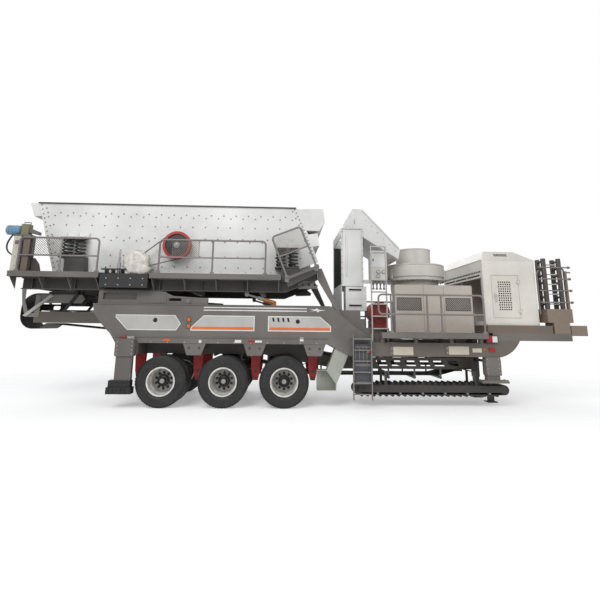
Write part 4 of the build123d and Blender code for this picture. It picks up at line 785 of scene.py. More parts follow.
def inset(outline, d):
    """Outline moved inwards by d; corners go round anticlockwise or clockwise alike."""
    pts = [Vector(p) for p in outline]
    n = len(pts)
    turn = sum(a.x * b.y - b.x * a.y for a, b in zip(pts, pts[1:] + pts[:1]))
    sign = 1 if turn > 0 else -1
    out = []
    for i, p in enumerate(pts):
        u = (p - pts[i - 1]).normalized()
        v = (pts[(i + 1) % n] - p).normalized()
        nu, nv = Vector((-u.y, u.x)) * sign, Vector((-v.y, v.x)) * sign
        m = (nu + nv).normalized()
        out.append(p + m * (d / m.dot(nu)))
    return [(q.x, q.y) for q in out]


def girder_panels():
    a, b, c = GIRDER_REAR + 0.52, GIRDER_REAR + 2.15, GIRDER_FRONT - 1.38
    z0, z1 = PANEL_LOW, PANEL_HIGH
    return [[(a, z1), (a + 1.29, z1), (a + 1.42, z0 + 0.15), (a + 1.33, z0), (a + 0.27, z0), (a, z0 + 0.27)],
            [(b + 0.28, z1), (b + 1.4, z1), (b + 1.4, z0), (b, z0), (b, z0 + 0.07)],
            [(c, z1), (c + 1.16, z1), (c + 1.4, z0 + 0.125), (c + 1.4, z0), (c, z0)]]


def make_girder_marks():
    plate, rim, stripe, pits = Shape(), Shape(), Shape(), Shape()
    stripe_z = PANEL_LOW + 0.032, PANEL_LOW + 0.088
    star = [(0.2, 2.106), (0.34, 2.092), (0.4, 2.118), (0.44, 2.086), (0.6, 2.07), (0.46, 2.058),
            (0.41, 2.026), (0.38, 2.06), (0.24, 2.05), (0.33, 2.076)]
    for side in SIDES:
        def across(d0, d1):
            return span(side, GIRDER_FACE - d0, GIRDER_FACE - d1)
        for k, outline in enumerate(girder_panels()):
            plate.prism(inset(outline, 0.004), *across(0.0049, 0.0022))
            outer, inner = inset(outline, 0.002), inset(outline, 0.022)
            for i in range(len(outer)):
                j = (i + 1) % len(outer)
                rim.prism([outer[i], outer[j], inner[j], inner[i]], *across(0.0048, -0.0015))
            if k:
                x0, x1 = outline[-1][0] if k == 2 else outline[3][0], outline[2][0] - 0.03
                stripe.prism([(x0 + 0.03, stripe_z[0]), (x1, stripe_z[0]), (x1, stripe_z[1]), (x0 + 0.05, stripe_z[1])],
                             *across(0.0025, 0.001))
        # Black discs and slanted slots stand for the girder's holes: painted shade.
        for x in (GIRDER_REAR + 1.38, GIRDER_REAR + 4.5):
            pits.lathe([(0.048, 0.0005), (0.048, 0.003)], (x, side * (GIRDER_FACE - 0.004), PANEL_HIGH - 0.115),
                       (0, side, 0), 28)
        for k in range(4):
            pits.prism(slant(GIRDER_FRONT - 1.29 + 0.11 * k, 0.042, 0.018, PANEL_HIGH - 0.035, PANEL_HIGH - 0.125),
                       *across(0.0035, 0.001))
        for z in (2.048, 2.108):
            rim.prism(rect(-2.11, 0.17, z - 0.011, z + 0.011), *across(0, -0.0015))
        rim.prism(star, *across(0, -0.0015))
    make("girder_panel_faces", plate, "panel_grey")
    make("girder_white_lines", rim, "edge_white")
    make("girder_orange_stripes", stripe, "orange")
    make("girder_hole_shade", pits, "black_and_hole_shade")


def make_lamps():
    """Reflectors, marker lamps and tail lamps along the girders and low beams."""
    red, white, amber, box = Shape(), Shape(), Shape(), Shape()
    for side in SIDES:
        def tab(shape, x0, x1, z0, z1, t=0.006):
            shape.wall(side, (x0, x1), (GIRDER_FACE, GIRDER_FACE + t), (z0, z1), 0.003)
        for x0, z0 in ((-3.873, 1.425), (-1.115, 1.36)):
            tab(red, x0, x0 + 0.15, z0, z0 + 0.045)
            tab(white, x0 + 0.155, x0 + 0.305, z0, z0 + 0.045)
        tab(amber, -2.95, -2.8, 1.375, 1.425, 0.012)
        tab(white, -1.4, -1.26, 1.35, 1.412, 0.01)
        for x, z in ((-2.42, 1.84), (-2.42, 1.7)):
            tab(box, x - 0.045, x + 0.045, z - 0.05, z + 0.05, 0.016)
            tab(amber, x - 0.034, x + 0.034, z - 0.038, z + 0.038, 0.026)
        white.lathe([(0.034, 0), (0.034, 0.014), (0.022, 0.022)], (-2.15, side * GIRDER_FACE, 1.372), (0, side, 0), 20)
        tab(box, 4.17, 4.43, 1.4, 1.56, 0.055)
        tab(red, 4.185, 4.3, 1.415, 1.545, 0.066)
        tab(white, 4.305, 4.415, 1.415, 1.545, 0.066)
        tab(red, 4.24, 4.37, 1.205, 1.295, 0.02)
        tab(amber, 4.11, 4.16, 1.24, 1.27, 0.01)
        tab(white, 0.02, 0.1, 1.395, 1.475, 0.004)
    make("lenses_red", red, "lens_red")
    make("lenses_white", white, "lens_white")
    make("lenses_amber", amber, "lens_amber")
    make("lamp_boxes", box, "dark_brown")


def make_beam_plates():
    """Cream plates on the low beams, the two wide ones with a strap and two bolts, and bolt rows along the girder
    flanges.
    """
    cream, dark, bolts = Shape(), Shape(), Shape()
    face = GIRDER_FACE
    for side in SIDES:
        out = (0, side, 0)
        for x0, x1, z0, z1 in ((2.06, 2.53, 1.12, 1.3), (3.3, 3.78, 1.14, 1.32), (3.86, 4.07, 1.19, 1.28)):
            cream.wall(side, (x0, x1), (face, face + 0.008), (z0, z1), 0.003)
            if x1 - x0 > 0.3:
                for k in range(9):
                    cream.prism(slant(x0 + 0.035 + 0.045 * k, 0.018, 0.03, z0 + 0.02, z1 - 0.02),
                                *span(side, face + 0.006, face + 0.013))
                dark.wall(side, (x0 - 0.045, x0 + 0.025), (face, face + 0.016), (z0 - 0.01, z1 + 0.01), 0.004)
                for z in (z0 + 0.04, z1 - 0.04):
                    bolts.bolt((x0 - 0.01, side * (face + 0.016), z), out, 0.01, 0.008)
        bolts.bolt_row((-3.93, side * face, 1.352), (0.36, 0, 0), 13, out, 0.01, 0.008)
        dark.wall(side, (GIRDER_REAR + 0.06, GIRDER_FRONT - 0.02), (face, face + 0.014), (2.15, 2.168))
        dark.wall(side, (GIRDER_REAR + 0.57, GIRDER_FRONT - 0.06), (face, face + 0.014), (1.448, 1.462))
    make("beam_plates", cream, "cream_plate")
    make("beam_edges", dark, "chassis_grey")
    make("beam_bolts", bolts, "bolt_grey", smooth=20)


# Link plate and subframe: bolts, slots and brackets
def make_subframe_details():
    dark, bolts, pits, steel = Shape(), Shape(), Shape(), Shape()
    y = 1.18
    for side in SIDES:
        out = (0, side, 0)
        for z in (2.24, 2.39):
            bolts.bolt_row((-3.47, side * y, z), (0.11, 0, 0), 5, out, 0.013, 0.01)
        dark.disc((-2.46, side * y, 2.24), out, 0.085, 0.012, 24)
        dark.prism(rect(-3.52, -2.95, 2.19, 2.44), *span(side, y, y + 0.01))
        steel.disc((-2.46, side * (y + 0.01), 2.24), out, 0.04, 0.03, 18)
        dark.prism([(-0.02, 2.545), (0.4, 2.56), (0.42, 2.63), (0.3, 2.72), (0.1, 2.74), (-0.03, 2.66)],
                   *span(side, 1.137, 1.151))
        # Black discs stand for the plate's holes: painted shade.
        for x in (0.08, 0.215, 0.35):
            pits.disc((x, side * 1.151, 2.645), out, 0.03, 0.003, 20)
    make("subframe_plates", dark, "chassis_grey")
    make("subframe_bolts", bolts, "bolt_grey", smooth=20)
    make("subframe_hole_shade", pits, "black_and_hole_shade")
    make("subframe_pins", steel, "cylinder_steel")


# Belts: cleats and rollers
CLEAT_PITCH = 0.138


def make_belts():
    cleats, rollers, idlers = Shape(), Shape(), Shape()
    x = 1.4
    while x < 4.56:
        for foot, tip in ((0.479, 0.525), (0.261, 0.221)):
            cleats.prism([(x - 0.045, foot), (x + 0.045, foot), (x + 0.012, tip), (x - 0.012, tip)], -1.03, -0.67)
        x += CLEAT_PITCH
    for k in range(6):
        for z in (0.3, 0.435):
            rollers.tube([(1.75 + 0.5 * k, y, z) for y in (-1.0725, -0.6275)], 0.024, 12)
    flat, level = 0.89, 1.865
    slope = (level - flat) / 5.45
    stations = [(0.9 + 0.62 * k, flat) for k in range(1, 5)]
    stations += [(0.55 - 0.62 * k, flat + (0.35 + 0.62 * k) * slope) for k in range(8)]
    stations += [(-4.75 - 0.5 * k, level) for k in range(3)]
    for x, z in stations:
        idlers.tube([(x, y, z + 0.116) for y in (-0.46, 0.46)], 0.038, 14)
        low = 0.569 + max(0.0, 0.5 - x) * (1.605 - 0.61) / 5.05
        under = x > -4.4
        for side in SIDES:
            idlers.wall(side, (x - 0.03, x + 0.03), (0.44, 0.505), (z + 0.06, z + 0.13), 0.004)
            if under:
                idlers.wall(side, (x - 0.02, x + 0.02), (0.495, 0.507), (low - 0.03, z - 0.12))
        if under:
            idlers.tube([(x, y, low) for y in (-0.5, 0.5)], 0.034, 14)
    make("side_belt_cleats", cleats, "belt_rubber")
    make("side_rollers", rollers, "cylinder_steel")
    make("main_rollers", idlers, "cylinder_steel")


# Crusher: flange bolts, lock posts, guard mesh and control box
def make_crusher_details():
    steel, bolts, wire, dark = Shape(), Shape(), Shape(), Shape()
    cx, up, out, front = 3.0, (0, 0, 1), (0, -1, 0), -0.95
    bolts.bolt_ring((cx, 0, 2.86), (0, 0, -1), 0.725, 36, 0.015, 0.03, 0.5)
    bolts.bolt_ring((cx, 0, 3.29), up, 0.5, 18, 0.014, 0.018, 0.75)
    for turn in (-28, -12, 12, 28, 168, 192, 208):
        a = radians(turn)
        steel.lathe([(0.034, 0), (0.034, 0.13), (0.02, 0.14), (0.02, 0.2), (0.034, 0.205), (0.034, 0.245)],
                    (cx + 0.748 * cos(a), 0.748 * sin(a), 2.89), up, 14)
    steel.lathe(rect(0.7505, 0.7535, 3.225, 3.245), (cx, 0, 0), up, 64, closed=True)
    for x0 in (2.27, 3.42):
        corners = [(x, -0.944, z) for x, z in rect(x0 + 0.005, x0 + 0.575, 2.113, 2.397)]
        wire.mesh_panel(corners, 0.05, 0.013)
        # Dark sheet behind each wire panel: painted shade of the guard's inside.
        dark.box((x0 + 0.002, -0.94, 2.112), (x0 + 0.578, -0.9382, 2.398))
        dark.tube([(x, -0.952, z) for x, _, z in corners], 0.008, 4, closed=True)
    for x in (2.35, 2.62, 3.55, 3.9):
        bolts.bolt((x, front, 1.83), out, 0.012, 0.01)
    bolts.bolt_row((2.27, front, 1.66), (0.217, 0, 0), 9, out, 0.01, 0.008)
    bolts.bolt_row((2.27, front, 2.64), (0.217, 0, 0), 9, out, 0.009, 0.007)
    for x in (2.9, 3.38):
        dark.box((x, front - 0.0005, 1.62), (x + 0.005, front + 0.0005, 2.69))
    make("crusher_posts", steel, "crusher_grey")
    make("crusher_bolts", bolts, "bolt_grey", smooth=20)
    make("guard_wires", wire, "guard_wire")
    make("guard_frames_and_back_shade", dark, "dark_brown")


def make_control_box():
    """Hood, door seam, dials and valves on the box beside the crusher."""
    white, seam, dial, valve = Shape(), Shape(), Shape(), Shape()
    white.prism([(1.665, 3.462), (2.105, 3.462), (2.105, 3.48), (2.04, 3.505), (1.73, 3.505), (1.665, 3.48)],
                -0.925, -0.62)
    y, out = -0.9, (0, -1, 0)
    white.box((1.715, y - 0.01, 3.1), (2.055, y, 3.44), 0.004)
    for x, z in ((1.86, 3.005), (1.99, 3.005), (1.86, 2.9)):
        dial.lathe([(0.04, 0), (0.04, 0.022), (0.034, 0.026)], (x, y, z), out, 24)
        seam.lathe(rect(0.034, 0.041, 0.024, 0.03), (x, y, z), out, 24, closed=True)
        seam.box((x - 0.003, y - 0.0275, z - 0.004), (x + 0.003, y - 0.026, z + 0.026))
    seam.box((1.735, y - 0.014, 3.25), (1.76, y - 0.01, 3.31), 0.003)
    for k in range(4):
        valve.lathe([(0.026, 0), (0.026, 0.12), (0.016, 0.13), (0.016, 0.2), (0.03, 0.205), (0.03, 0.235)],
                    (1.75 + 0.085 * k, -0.86, 2.82), (0, 0, -1), 14)
    make("control_hood", white, "screen_white")
    make("control_dials", dial, "dial_white")
    make("control_marks", seam, "black_and_hole_shade")
    make("control_valves", valve, "cylinder_steel")


# Power cabinet: perforated door, louvres, seams, slotted end and roof trim
CAB_FACE = 1.13
CAB_REAR, CAB_FRONT = 4.25, 5.5


def hole_sheet(shape, x0, x1, z0, z1, y, pitch, r, thick=0.002):
    """Perforated sheet: square cells with an octagonal hole, alternate rows shifted by squeezing the hole across."""
    columns, rows = max(1, round((x1 - x0) / pitch)), max(1, round((z1 - z0) / pitch))
    w, h = (x1 - x0) / columns, (z1 - z0) / rows
    for i in range(columns):
        for j in range(rows):
            cx, cz = x0 + w * (i + 0.5), z0 + h * (j + 0.5)
            shift = (w / 2 - r) * 0.6 * (1 if j % 2 else -1)
            square = [(w / 2, 0), (w / 2, h / 2), (0, h / 2), (-w / 2, h / 2), (-w / 2, 0), (-w / 2, -h / 2),
                      (0, -h / 2), (w / 2, -h / 2)]
            outer = [(cx + a, y, cz + b) for a, b in square]
            inner = [(cx + shift + r * cos(tau * k / 8), y, cz + r * sin(tau * k / 8)) for k in range(8)]
            deep = [(a, y + thick, b) for a, _, b in inner]
            shape.add(outer + inner + deep, [(k, (k + 1) % 8, 8 + (k + 1) % 8, 8 + k) for k in range(8)]
                      + [(8 + k, 8 + (k + 1) % 8, 16 + (k + 1) % 8, 16 + k) for k in range(8)])


def make_door_details():
    sheet, dark, trim = Shape(), Shape(), Shape()
    y = -CAB_FACE
    x0, x1, z0, z1 = 4.591, 4.899, 2.121, 2.799
    hole_sheet(sheet, x0, x1, z0, z1, y + 0.002, 0.052, 0.0185)
    # Dark sheet behind the perforations: painted shade of the cabinet's inside.
    dark.box((x0, y + 0.0105, z0), (x1, y + 0.0118, z1))
    trim.lathe([(0.02, 0), (0.02, 0.008), (0.012, 0.014)], (4.52, y, 2.33), (0, -1, 0), 20)
    trim.box((4.5, y - 0.0375, 2.405), (4.54, y - 0.035, 2.485), 0.001)
    make("door_perforated_sheet", sheet, "door_white", "door", smooth=20)
    make("door_back_shade", dark, "black_and_hole_shade", "door")
    make("door_handle", trim, "bolt_grey", "door")


def make_cabinet_details():
    pits, trim, seam = Shape(), Shape(), Shape()
    rear, front, slope = CAB_REAR, CAB_FRONT, atan2(0.22, 0.16)
    length = rear + 0.01, front - 0.01
    for side in SIDES:
        out = CAB_FACE, CAB_FACE + 0.006
        # Black slits between the louvres: painted shade.
        for k in range(9):
            x = 4.6 + 0.036 * k
            rings = []
            for f in (0.4, 0.7):
                y, z = side * (CAB_FACE - 0.16 * f - 0.002 * sin(slope)), 3.3 + 0.22 * f + 0.002 * cos(slope)
                rings.append([(a, y, b) for a, b in rect(x, x + 0.022, z, z + 0.003)])
            pits.loft(rings)
        seam.wall(side, length, out, (3.285, 3.303), 0.003)
        for x in (rear + 0.004, front - 0.03):
            seam.wall(side, (x, x + 0.026), out, (1.8, 3.29), 0.003)
        seam.wall(side, length, out, (1.8, 1.822), 0.003)
    # Black slots on the rear end stand for its openings: painted shade.
    for k in range(24):
        y = -1.02 + 2.04 * k / 23
        pits.box((rear - 0.003, y - 0.03, 3.005), (rear + 0.002, y + 0.03, 3.045), 0.004)
    for k in range(3):
        pits.box((rear - 0.003, -1.0 + 0.69 * k, 2.925), (rear + 0.002, -0.36 + 0.69 * k, 2.96), 0.006)
    seam.box((rear - 0.01, -CAB_FACE, 3.28), (rear, CAB_FACE, 3.305), 0.003)
    for y in (-CAB_FACE + 0.07, CAB_FACE - 0.08, -0.01):
        trim.box((rear - 0.012, y, 1.8), (rear + 0.02, y + 0.022, 2.89), 0.003)
    make("cabinet_slot_shade", pits, "black_and_hole_shade")
    make("cabinet_trim", trim, "cylinder_steel")
    make("cabinet_seams", seam, "cabinet_white")


# Front frames beyond the cabinet: two dark ladder frames with tubes and clamps
def make_front_frames():
    dark, tubes = Shape(), Shape()
    z0, z1 = 2.17, 3.34
    for x in (5.7, 6.06):
        for y in (-1.17, -0.95):
            dark.box((x - 0.045, y - 0.035, z0), (x + 0.045, y + 0.035, z1), 0.01)
        for k in range(7):
            z = z0 + 0.11 + 0.165 * k
            dark.box((x - 0.035, -1.14, z - 0.022), (x + 0.035, -0.98, z + 0.022), 0.006)
    for k in range(4):
        z = 2.32 + 0.27 * k
        tubes.tube([(5.55, -1.19, z), (6.26, -1.19, z)], 0.017, 10)
        tubes.lathe([(0.03, 0), (0.03, 0.03), (0.02, 0.045)], (6.26, -1.19, z), (1, 0, 0), 14)
    for y, r, line in ((-1.1, 0.02, ((5.56, 2.05), (5.56, 3.0), (5.6, 3.06), (5.7, 3.06))),
                       (-1.06, 0.018, ((6.24, 2.17), (6.24, 3.1), (6.16, 3.16), (6.06, 3.16)))):
        tubes.tube(bent([(x, y, z) for x, z in line], 0.05), r, 12)
    make("front_frames", dark, "dark_brown")
    make("front_tubes", tubes, "rail_grey")


# Feed hood: ribs, flanges, slots and bolts
HOOD_FACE = 0.78


def make_hood_details():
    white, pits, bolts, grey, shade_sheet = (Shape() for _ in range(5))
    face = HOOD_FACE
    for side in SIDES:
        out = (0, side, 0)
        for x in (1.012, 1.505):
            white.wall(side, (x, x + 0.026), (face, face + 0.03), (2.68, 4.07), 0.004)
        for z in (2.665, 4.055):
            white.wall(side, (1.012, 1.53), (face, face + 0.03), (z, z + 0.024), 0.004)
        white.wall(side, (1.12, 1.15), (face, face + 0.022), (2.9, 3.9), 0.005)
        for (ax, az), (bx, bz) in (((1.53, 4.54), (2.42, 3.59)), ((1.56, 3.86), (2.36, 3.36))):
            d = Vector((bx - ax, bz - az)).normalized() * 0.014
            white.prism([(ax + d.y, az - d.x), (bx + d.y, bz - d.x), (bx - d.y, bz + d.x), (ax - d.y, az + d.x)],
                        *span(side, face, face + 0.022))
        for x in (1.025, 1.518):
            bolts.bolt_row((x, side * 0.81, 2.78), (0, 0, 0.15), 9, out, 0.01, 0.008)
        bolts.bolt_row((1.62, side * face, 4.28), (0.14, 0, -0.15), 6, out, 0.011, 0.009)
        # Dark sheets inside the open end of the hood: painted shade of its white inside.
        shade_sheet.wall(side, (1.026, 1.505), (0.757, 0.765), (2.68, 3.86))
    # Black boxes in the two framed slots: painted shade.
    for z in (2.19, 2.56):
        pits.box((1.192, -0.7795, z + 0.002), (1.478, -0.762, z + 0.038))
        white.tube([(a, -0.786, b) for a, b in rect(1.185, 1.485, z - 0.006, z + 0.046)], 0.007, 4, closed=True)
    white.box((1.105, -0.786, 2.365), (1.605, -face, 2.385), 0.002)
    grey.box((1.33, -0.79, 4.18), (1.36, -face, 4.3), 0.004)
    bolts.bolt_row((1.345, -0.79, 4.2), (0, 0, 0.08), 2, (0, -1, 0), 0.007, 0.006)
    # Dark sheet on the inside of the front wall: painted shade.
    shade_sheet.box((1.506, -0.764, 2.68), (1.515, 0.764, 3.86))
    make("hood_shade_sheets", shade_sheet, "shadow_green")
    make("hood_ribs", white, "screen_white")
    make("hood_slot_shade", pits, "black_and_hole_shade")
    make("hood_bolts", bolts, "bolt_grey", smooth=20)
    make("hood_tag_plate", grey, "panel_grey")


# Jacks, hangers and landing legs
def make_jack_details():
    bolts, steel, dark = Shape(), Shape(), Shape()
    hangers = (-3.585, -2.275, -0.965, 0.345)
    for side in SIDES:
        out = (0, side, 0)
        for x, y, z_top, z_bot, half in ((-3.7, 1.365, 1.41, 1.06, 0.19), (4.3, 1.225, 1.09, 0.7, 0.165)):
            for sx in SIDES:
                bolts.bolt_row((x + sx * (half - 0.035), side * y, z_bot + 0.05), (0, 0, (z_top - z_bot - 0.1) / 3), 4,
                               out, 0.01, 0.009)
                steel.wall(side, sorted((x + sx * half, x + sx * (half + 0.014))), (y - 0.145, y - 0.005),
                           (z_bot + 0.02, z_top - 0.04), 0.004)
            steel.wall(side, (x - half, x + half), (y, y + 0.012), (z_bot, z_bot + 0.035), 0.004)
        for x in hangers[1:]:
            dark.bolt_row((x - 0.11, side * 1.19, 1.235), (0.22, 0, 0), 2, out, 0.019, 0.014)
        for x in hangers:
            for sy in SIDES:
                for z, r in ((0.708, 0.034), (0.55, 0.03)):
                    dark.lathe([(r, 0), (r, 0.014), (r * 0.55, 0.016), (r * 0.55, 0.028)],
                               (x, side * 0.61 + sy * 0.052, z), (0, sy, 0), 18)
        steel.disc((4.62, side * 0.425, 0.93), out, 0.024, 0.11, 14)
        bolts.bolt_row((4.57, side * 0.425, 1.2), (0.05, 0, 0), 3, out, 0.011, 0.009)
    make("jack_bolts", bolts, "bolt_grey", smooth=20)
    make("hanger_bolts", dark, "bolt_dark", smooth=20)
    make("jack_flanges", steel, "chassis_grey")


def make_jack_leg_details():
    """Ribs on the steps of the rear feet and bolt heads on the front feet."""
    for word, side in WORDS:
        rear, front = Shape(), Shape()
        for k in range(6):
            x = -3.955 + 0.084 * k
            rear.wall(side, (x, x + 0.022), (1.388, 1.398), (0.312, 0.425), 0.002)
        for z in (0.47, 0.535):
            rear.tube([(x, side * 1.372, z) for x in (-3.955, -3.535)], 0.01, 8)
        for x in (4.03, 4.57):
            for dy in (0.03, 0.17):
                front.bolt((x, side * (1.09 + dy), 0.6045), (0, 0, 1), 0.012, 0.01)
        make(f"jack_foot_rear_{word}", rear, "black_and_hole_shade", f"jack_rear_{word}")
        make(f"jack_foot_front_{word}", front, "bolt_dark", f"jack_front_{word}", smooth=20)


# Wheel nuts
def make_wheel_nuts():
    for word, side in WORDS:
        for i, ax in enumerate(AXLE_X, 1):
            shape = Shape()
            shape.bolt_ring((ax, side * 0.9878, AXLE_Z), (0, side, 0), 0.1675, 10, 0.0195, 0.036, 0.5)
            make(f"wheel_nuts_{word}_{i}", shape, "black_and_hole_shade", f"wheel_set_{word}_{i}", smooth=20)


# Screen drive: exciter plates, pulley spokes, tensioner and the wrapped motor
def make_exciter_details():
    steel, far, spokes = Shape(), Shape(), Shape()
    ex, ez = EXCITER
    near_way, far_way = (0, -1, 0), (0, 1, 0)
    steel.lathe(rect(0.215, 0.255, -0.95, -0.972), (ex, 0, ez), far_way, 40, closed=True)
    steel.bolt_ring((ex, -0.972, ez), near_way, 0.235, 10, 0.014, 0.014)
    far.lathe([(0.2, 0.95), (0.2, 1.03), (0.13, 1.05), (0.13, 1.08), (0.05, 1.085), (0.0, 1.085)], (ex, 0, ez),
              far_way, 40)
    far.bolt_ring((ex, 1.038, ez), far_way, 0.17, 10, 0.013, 0.012)
    spokes.bolt_ring((ex, -1.179, ez), near_way, 0.048, 4, 0.008, 0.008)
    spokes.lathe([(0.03, 0), (0.03, 0.006), (0.016, 0.012)], (ex, -1.179, ez), near_way, 20)
    make("exciter_rings", steel, "bolt_grey")
    make("exciter_far_cover", far, "crusher_grey")
    make("pulley_spokes", spokes, "bolt_grey", "screen_pulley")


def make_motor_details():
    dark, steel = Shape(), Shape()
    up, x, y = (0, 0, 1), -4.0, -1.3
    steel.tube([(x, y, 2.79), (x, y, 3.36)], 0.016, 12)
    steel.lathe([(0.034, 0), (0.034, 0.26), (0.024, 0.27)], (x, y, 2.8), up, 16)
    for z in (3.1, 3.16, 3.25):
        steel.disc((x, y, z), up, 0.03, 0.024, 6)
    dark.box((-4.3, -1.4, 2.79), (-3.32, -1.2, 2.812), 0.004)
    for x in (-4.26, -4.12, -3.92):
        dark.box((x, -1.4, 2.812), (x + 0.022, -1.22, 2.91), 0.004)
    dark.tube([(-4.33, -1.41, 2.9), (-3.7, -1.41, 2.9)], 0.018, 10)
    dark.tube([(-4.24, -1.41, 2.6), (-4.24, -1.41, 2.95)], 0.014, 10)
    for z in (2.56, 2.7):
        steel.bolt_row((-4.2, -1.43, z), (0.26, 0, 0), 4, (0, -1, 0), 0.011, 0.01)
    make("motor_base", dark, "black_steel")
    make("tensioner", steel, "bolt_grey")


def film_swell(theta, t, seed):
    """How far the film stands off at theta round the motor and t along it, from 0 at the outer end to 1."""
    fold = noise.noise(Vector((cos(theta) * 2.6 + seed, sin(theta) * 2.6, t * 2.2)))
    small = noise.noise(Vector((cos(theta) * 8 + seed, sin(theta) * 8, t * 7)))
    ridge = abs(noise.noise(Vector((theta * 3.1, t * 1.4, seed)))) ** 0.5
    return fold * 0.03 + small * 0.014 - ridge * 0.02


def make_wrap():
    """Plastic film pulled over the motor, gathered behind the pulley, with a loose tail."""
    cx, cz = -3.62, 3.085
    outline = [(0.001, -1.452), (0.09, -1.456), (0.17, -1.45), (0.235, -1.425), (0.272, -1.38), (0.285, -1.32),
               (0.282, -1.26), (0.262, -1.21), (0.225, -1.182)]
    shape = Shape()
    rows, around = 44, 120
    rings = []
    for i in range(rows):
        f = i / (rows - 1) * (len(outline) - 1)
        k = min(int(f), len(outline) - 2)
        r, y = (p * (1 - f + k) + q * (f - k) for p, q in zip(outline[k], outline[k + 1]))
        ring = []
        for j in range(around):
            a = tau * j / around
            swell = film_swell(a, i / rows, 3.7)
            rr = r + swell * min(1, r / 0.12)
            if sin(a) < -0.35:
                rr += 0.05 * (-sin(a) - 0.35) * (0.6 + 0.8 * noise.noise(Vector((a * 5, i * 0.2, 1)))) * min(1, r / 0.2)
            if cos(a) > 0.2 and sin(a) < -0.4:
                rr += 0.16 * (cos(a) - 0.2) * min(1, r / 0.2)
            ring.append((cx + rr * cos(a) * 1.04, max(y + swell * 0.5, -1.4499), cz + rr * sin(a) * 1.02))
        rings.append(ring)
    shape.loft(rings, caps=False)
    piece = make("motor_film", shape, "wrap_film", smooth=60)


# Rear mast: plates, arm, hoses and the wrapped cylinder
MAST_Y, MAST_ARM_Z = -1.305, 3.75


def make_mast_details():
    dark, grey, cream, brown, olive, bolts = (Shape() for _ in range(6))
    cream.box((-6.2815, -1.4015, 2.835), (-6.1285, -1.2085, 3.598))
    brown.box((-6.0615, -1.4015, 2.835), (-5.9285, -1.2085, 3.598))
    olive.box((-6.1715, -1.3815, 3.642), (-6.0085, -1.2285, 3.8815), 0.004)
    bolts.bolt_row((-6.205, -1.4015, 2.95), (0, 0, 0.2), 4, (0, -1, 0), 0.009, 0.008)
    dark.box((-5.93, -1.36, 2.84), (-5.905, -1.24, 3.55), 0.004)
    dark.tube([(x, MAST_Y, z) for x, z in ((-6.155, 3.86), (-6.155, 3.93), (-6.02, 3.93), (-6.02, 3.86))], 0.01, 8)
    dark.tube(bent([(x, MAST_Y, z) for x, z in ((-6.275, 3.6), (-6.34, 3.6), (-6.34, 3.66))], 0.03), 0.016, 10)
    dark.prism([(-5.92, 2.85), (-5.7, 2.85), (-5.74, 3.0), (-5.84, 3.13), (-5.92, 3.13)], -1.3, -1.27)
    grey.prism(rect(-6.24, -6.17, 3.42, 3.5), -1.412, -1.4)
    for x in (-6.44, -6.22):
        dark.lathe([(0.0955, 0), (0.103, 0), (0.103, 0.018), (0.0955, 0.018)], (x, MAST_Y, MAST_ARM_Z), (1, 0, 0), 28,
                   closed=True)
    make("mast_plates", dark, "dark_brown")
    make("mast_tags", grey, "chassis_grey")
    make("mast_light_post", cream, "box_cream")
    make("mast_brown_post", brown, "base_brown")
    make("mast_top_box", olive, "olive")
    make("mast_bolts", bolts, "bolt_grey", smooth=20)


def make_mast_wrap():
    """Blue film wound on the cylinder of the mast, with folds along it."""
    shape = Shape()
    rings = []
    for i in range(19):
        x = -6.487 + 0.3 * i / 18
        ring = []
        for j in range(72):
            a = tau * j / 72
            r = 0.1045 + 0.009 * noise.noise(Vector((cos(a) * 4, sin(a) * 4, x * 11)))
            ring.append((x, MAST_Y + r * cos(a), MAST_ARM_Z + r * sin(a)))
        rings.append(ring)
    shape.loft(rings, caps=False)
    piece = make("mast_film", shape, "blue_film", smooth=60)


# Struts and cross bars of the folded head section, and the tool box front
def make_tail_details():
    grey, dark = Shape(), Shape()
    for side in SIDES:
        grey.prism([(-6.385, 1.9), (-6.315, 1.87), (-5.735, 2.36), (-5.8, 2.39)], *span(side, 0.554, 0.59))
        dark.prism([(-5.51, 2.0), (-5.44, 2.0), (-5.17, 2.37), (-5.25, 2.39)], *span(side, 0.541, 0.56))
        dark.wall(side, (-5.84, -5.2), (0.541, 0.56), (2.39, 2.455), 0.004)
    make("tail_struts", grey, "panel_grey")
    make("tail_bars", dark, "black_steel")


def make_tool_box_front():
    bars, amber = Shape(), Shape()
    y, out = -1.3, (0, -1, 0)
    for z in (0.56, 0.9, 0.93, 1.29):
        bars.box((1.22, y - 0.01, z - 0.01), (1.57, y, z + 0.01))
    for k in range(5):
        x = 1.23 + 0.0825 * k
        bars.box((x - 0.006, y - 0.008, 0.93), (x + 0.006, y, 1.29))
    bars.lathe([(0.02, 0), (0.02, 0.012), (0.012, 0.018)], (1.53, y, 0.75), out, 16)
    amber.lathe([(0.034, 0), (0.034, 0.02), (0.02, 0.03)], (1.505, y, 1.2), out, 20)
    make("tool_box_bars", bars, "rail_grey")
    make("tool_box_lamp", amber, "lens_amber")


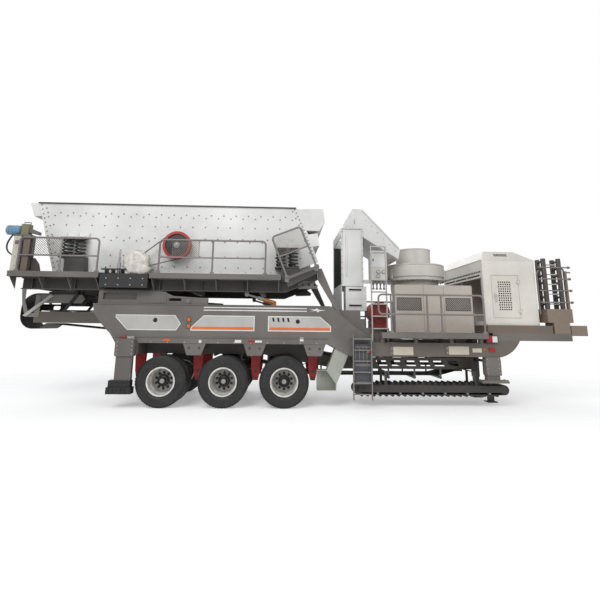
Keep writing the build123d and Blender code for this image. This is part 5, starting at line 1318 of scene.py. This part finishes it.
def make_deck_treads():
    """Raised lozenges on the decks."""
    tread = Shape()
    decks = [(-6.27, -4.4, 1.21, 1.44, 2.83), (-3.26, -0.44, 1.21, 1.44, 2.83), (1.81, 4.11, 1.15, 1.44, 1.61)]
    for x0, x1, ya, yb, z in decks:
        nx, ny = int((x1 - x0) / 0.06), int((yb - ya) / 0.06)
        for side in SIDES:
            for i in range(nx):
                for j in range(ny):
                    cx, cy = x0 + 0.03 + 0.06 * i, side * (ya + 0.03 + 0.06 * j)
                    a = radians(45 if (i + j) % 2 else -45)
                    u, v = Vector((cos(a), sin(a), 0)), Vector((-sin(a), cos(a), 0))
                    c = Vector((cx, cy, z))
                    base = [c + u * 0.02, c + v * 0.0055, c - u * 0.02, c - v * 0.0055]
                    top = [p + (c - p) * 0.35 + Vector((0, 0, 0.0028)) for p in base]
                    tread.loft([base, top])
    make("deck_treads", tread, "chassis_grey", smooth=20)


for build in (make_screen_bolts, make_screen_frame, make_screen_cloths, make_springs, make_railings,
              make_mesh_panels, make_girder_marks, make_lamps, make_beam_plates, make_subframe_details, make_belts,
              make_crusher_details, make_control_box, make_door_details, make_cabinet_details, make_front_frames,
              make_hood_details, make_jack_details, make_jack_leg_details, make_wheel_nuts, make_exciter_details,
              make_motor_details, make_wrap, make_mast_details, make_mast_wrap, make_tail_details,
              make_tool_box_front, make_deck_treads):
    build()


# Floor, backdrop and light
def make_stage():
    """Pale floor that fades into the plain backdrop, and soft lamps."""
    t = Tree("floor")
    t.set("Base Color", (0.9, 0.9, 0.9))
    t.set("Roughness", 0.9)
    t.set("Emission Color", (1, 1, 1))
    t.set("Emission Strength", 0.3)
    t.bump(t.noise(3, 4), 0.03, 0.01)
    x, y, z = t.axes()
    r = t.distance(t.math("MULTIPLY", x, 0.72), t.math("SUBTRACT", y, 0.5))
    t.set("Alpha", t.band(r, 5.0, 8.5, 1.0, 0.0))
    plane = bpy.data.meshes.new("floor")
    s = 30
    plane.from_pydata([(-s, -s, 0), (s, -s, 0), (s, s, 0), (-s, s, 0)], [], [(0, 1, 2, 3)])
    plane.materials.append(t.material)
    floor = add_object("floor", plane)
    floor.location.z = -0.0005
    world = bpy.data.worlds.new("world")
    bpy.context.scene.world = world
    world.use_nodes = True
    nodes, links = world.node_tree.nodes, world.node_tree.links
    back = nodes["Background"]
    shown = nodes.new("ShaderNodeBackground")
    shown.inputs["Color"].default_value = (1, 1, 1, 1)
    shown.inputs["Strength"].default_value = 1.0
    back.inputs["Color"].default_value = (0.96, 0.98, 1.0, 1)
    back.inputs["Strength"].default_value = 0.44
    ray = nodes.new("ShaderNodeLightPath")
    seen = nodes.new("ShaderNodeMath")
    seen.operation = "MAXIMUM"
    links.new(ray.outputs["Is Camera Ray"], seen.inputs[0])
    links.new(ray.outputs["Is Transmission Ray"], seen.inputs[1])
    mix = nodes.new("ShaderNodeMixShader")
    links.new(seen.outputs[0], mix.inputs[0])
    links.new(back.outputs[0], mix.inputs[1])
    links.new(shown.outputs[0], mix.inputs[2])
    links.new(mix.outputs[0], nodes["World Output"].inputs[0])

    def area(name, at, aim, size, power):
        data = bpy.data.lights.new(name, "AREA")
        data.size, data.energy = size, power
        lamp = add_object(name, data)
        lamp.location = at
        lamp.rotation_euler = (Vector(aim) - Vector(at)).to_track_quat("-Z", "Y").to_euler()

    area("key", (-6, -13, 12), (0, 0, 2), 9, 1450)
    area("fill", (11, -12, 9), (1, 0, 2), 10, 700)
    area("rim", (2, 14, 12), (0, 0, 2), 10, 800)


make_stage()

scene = bpy.context.scene
scene.view_settings.view_transform = "Standard"
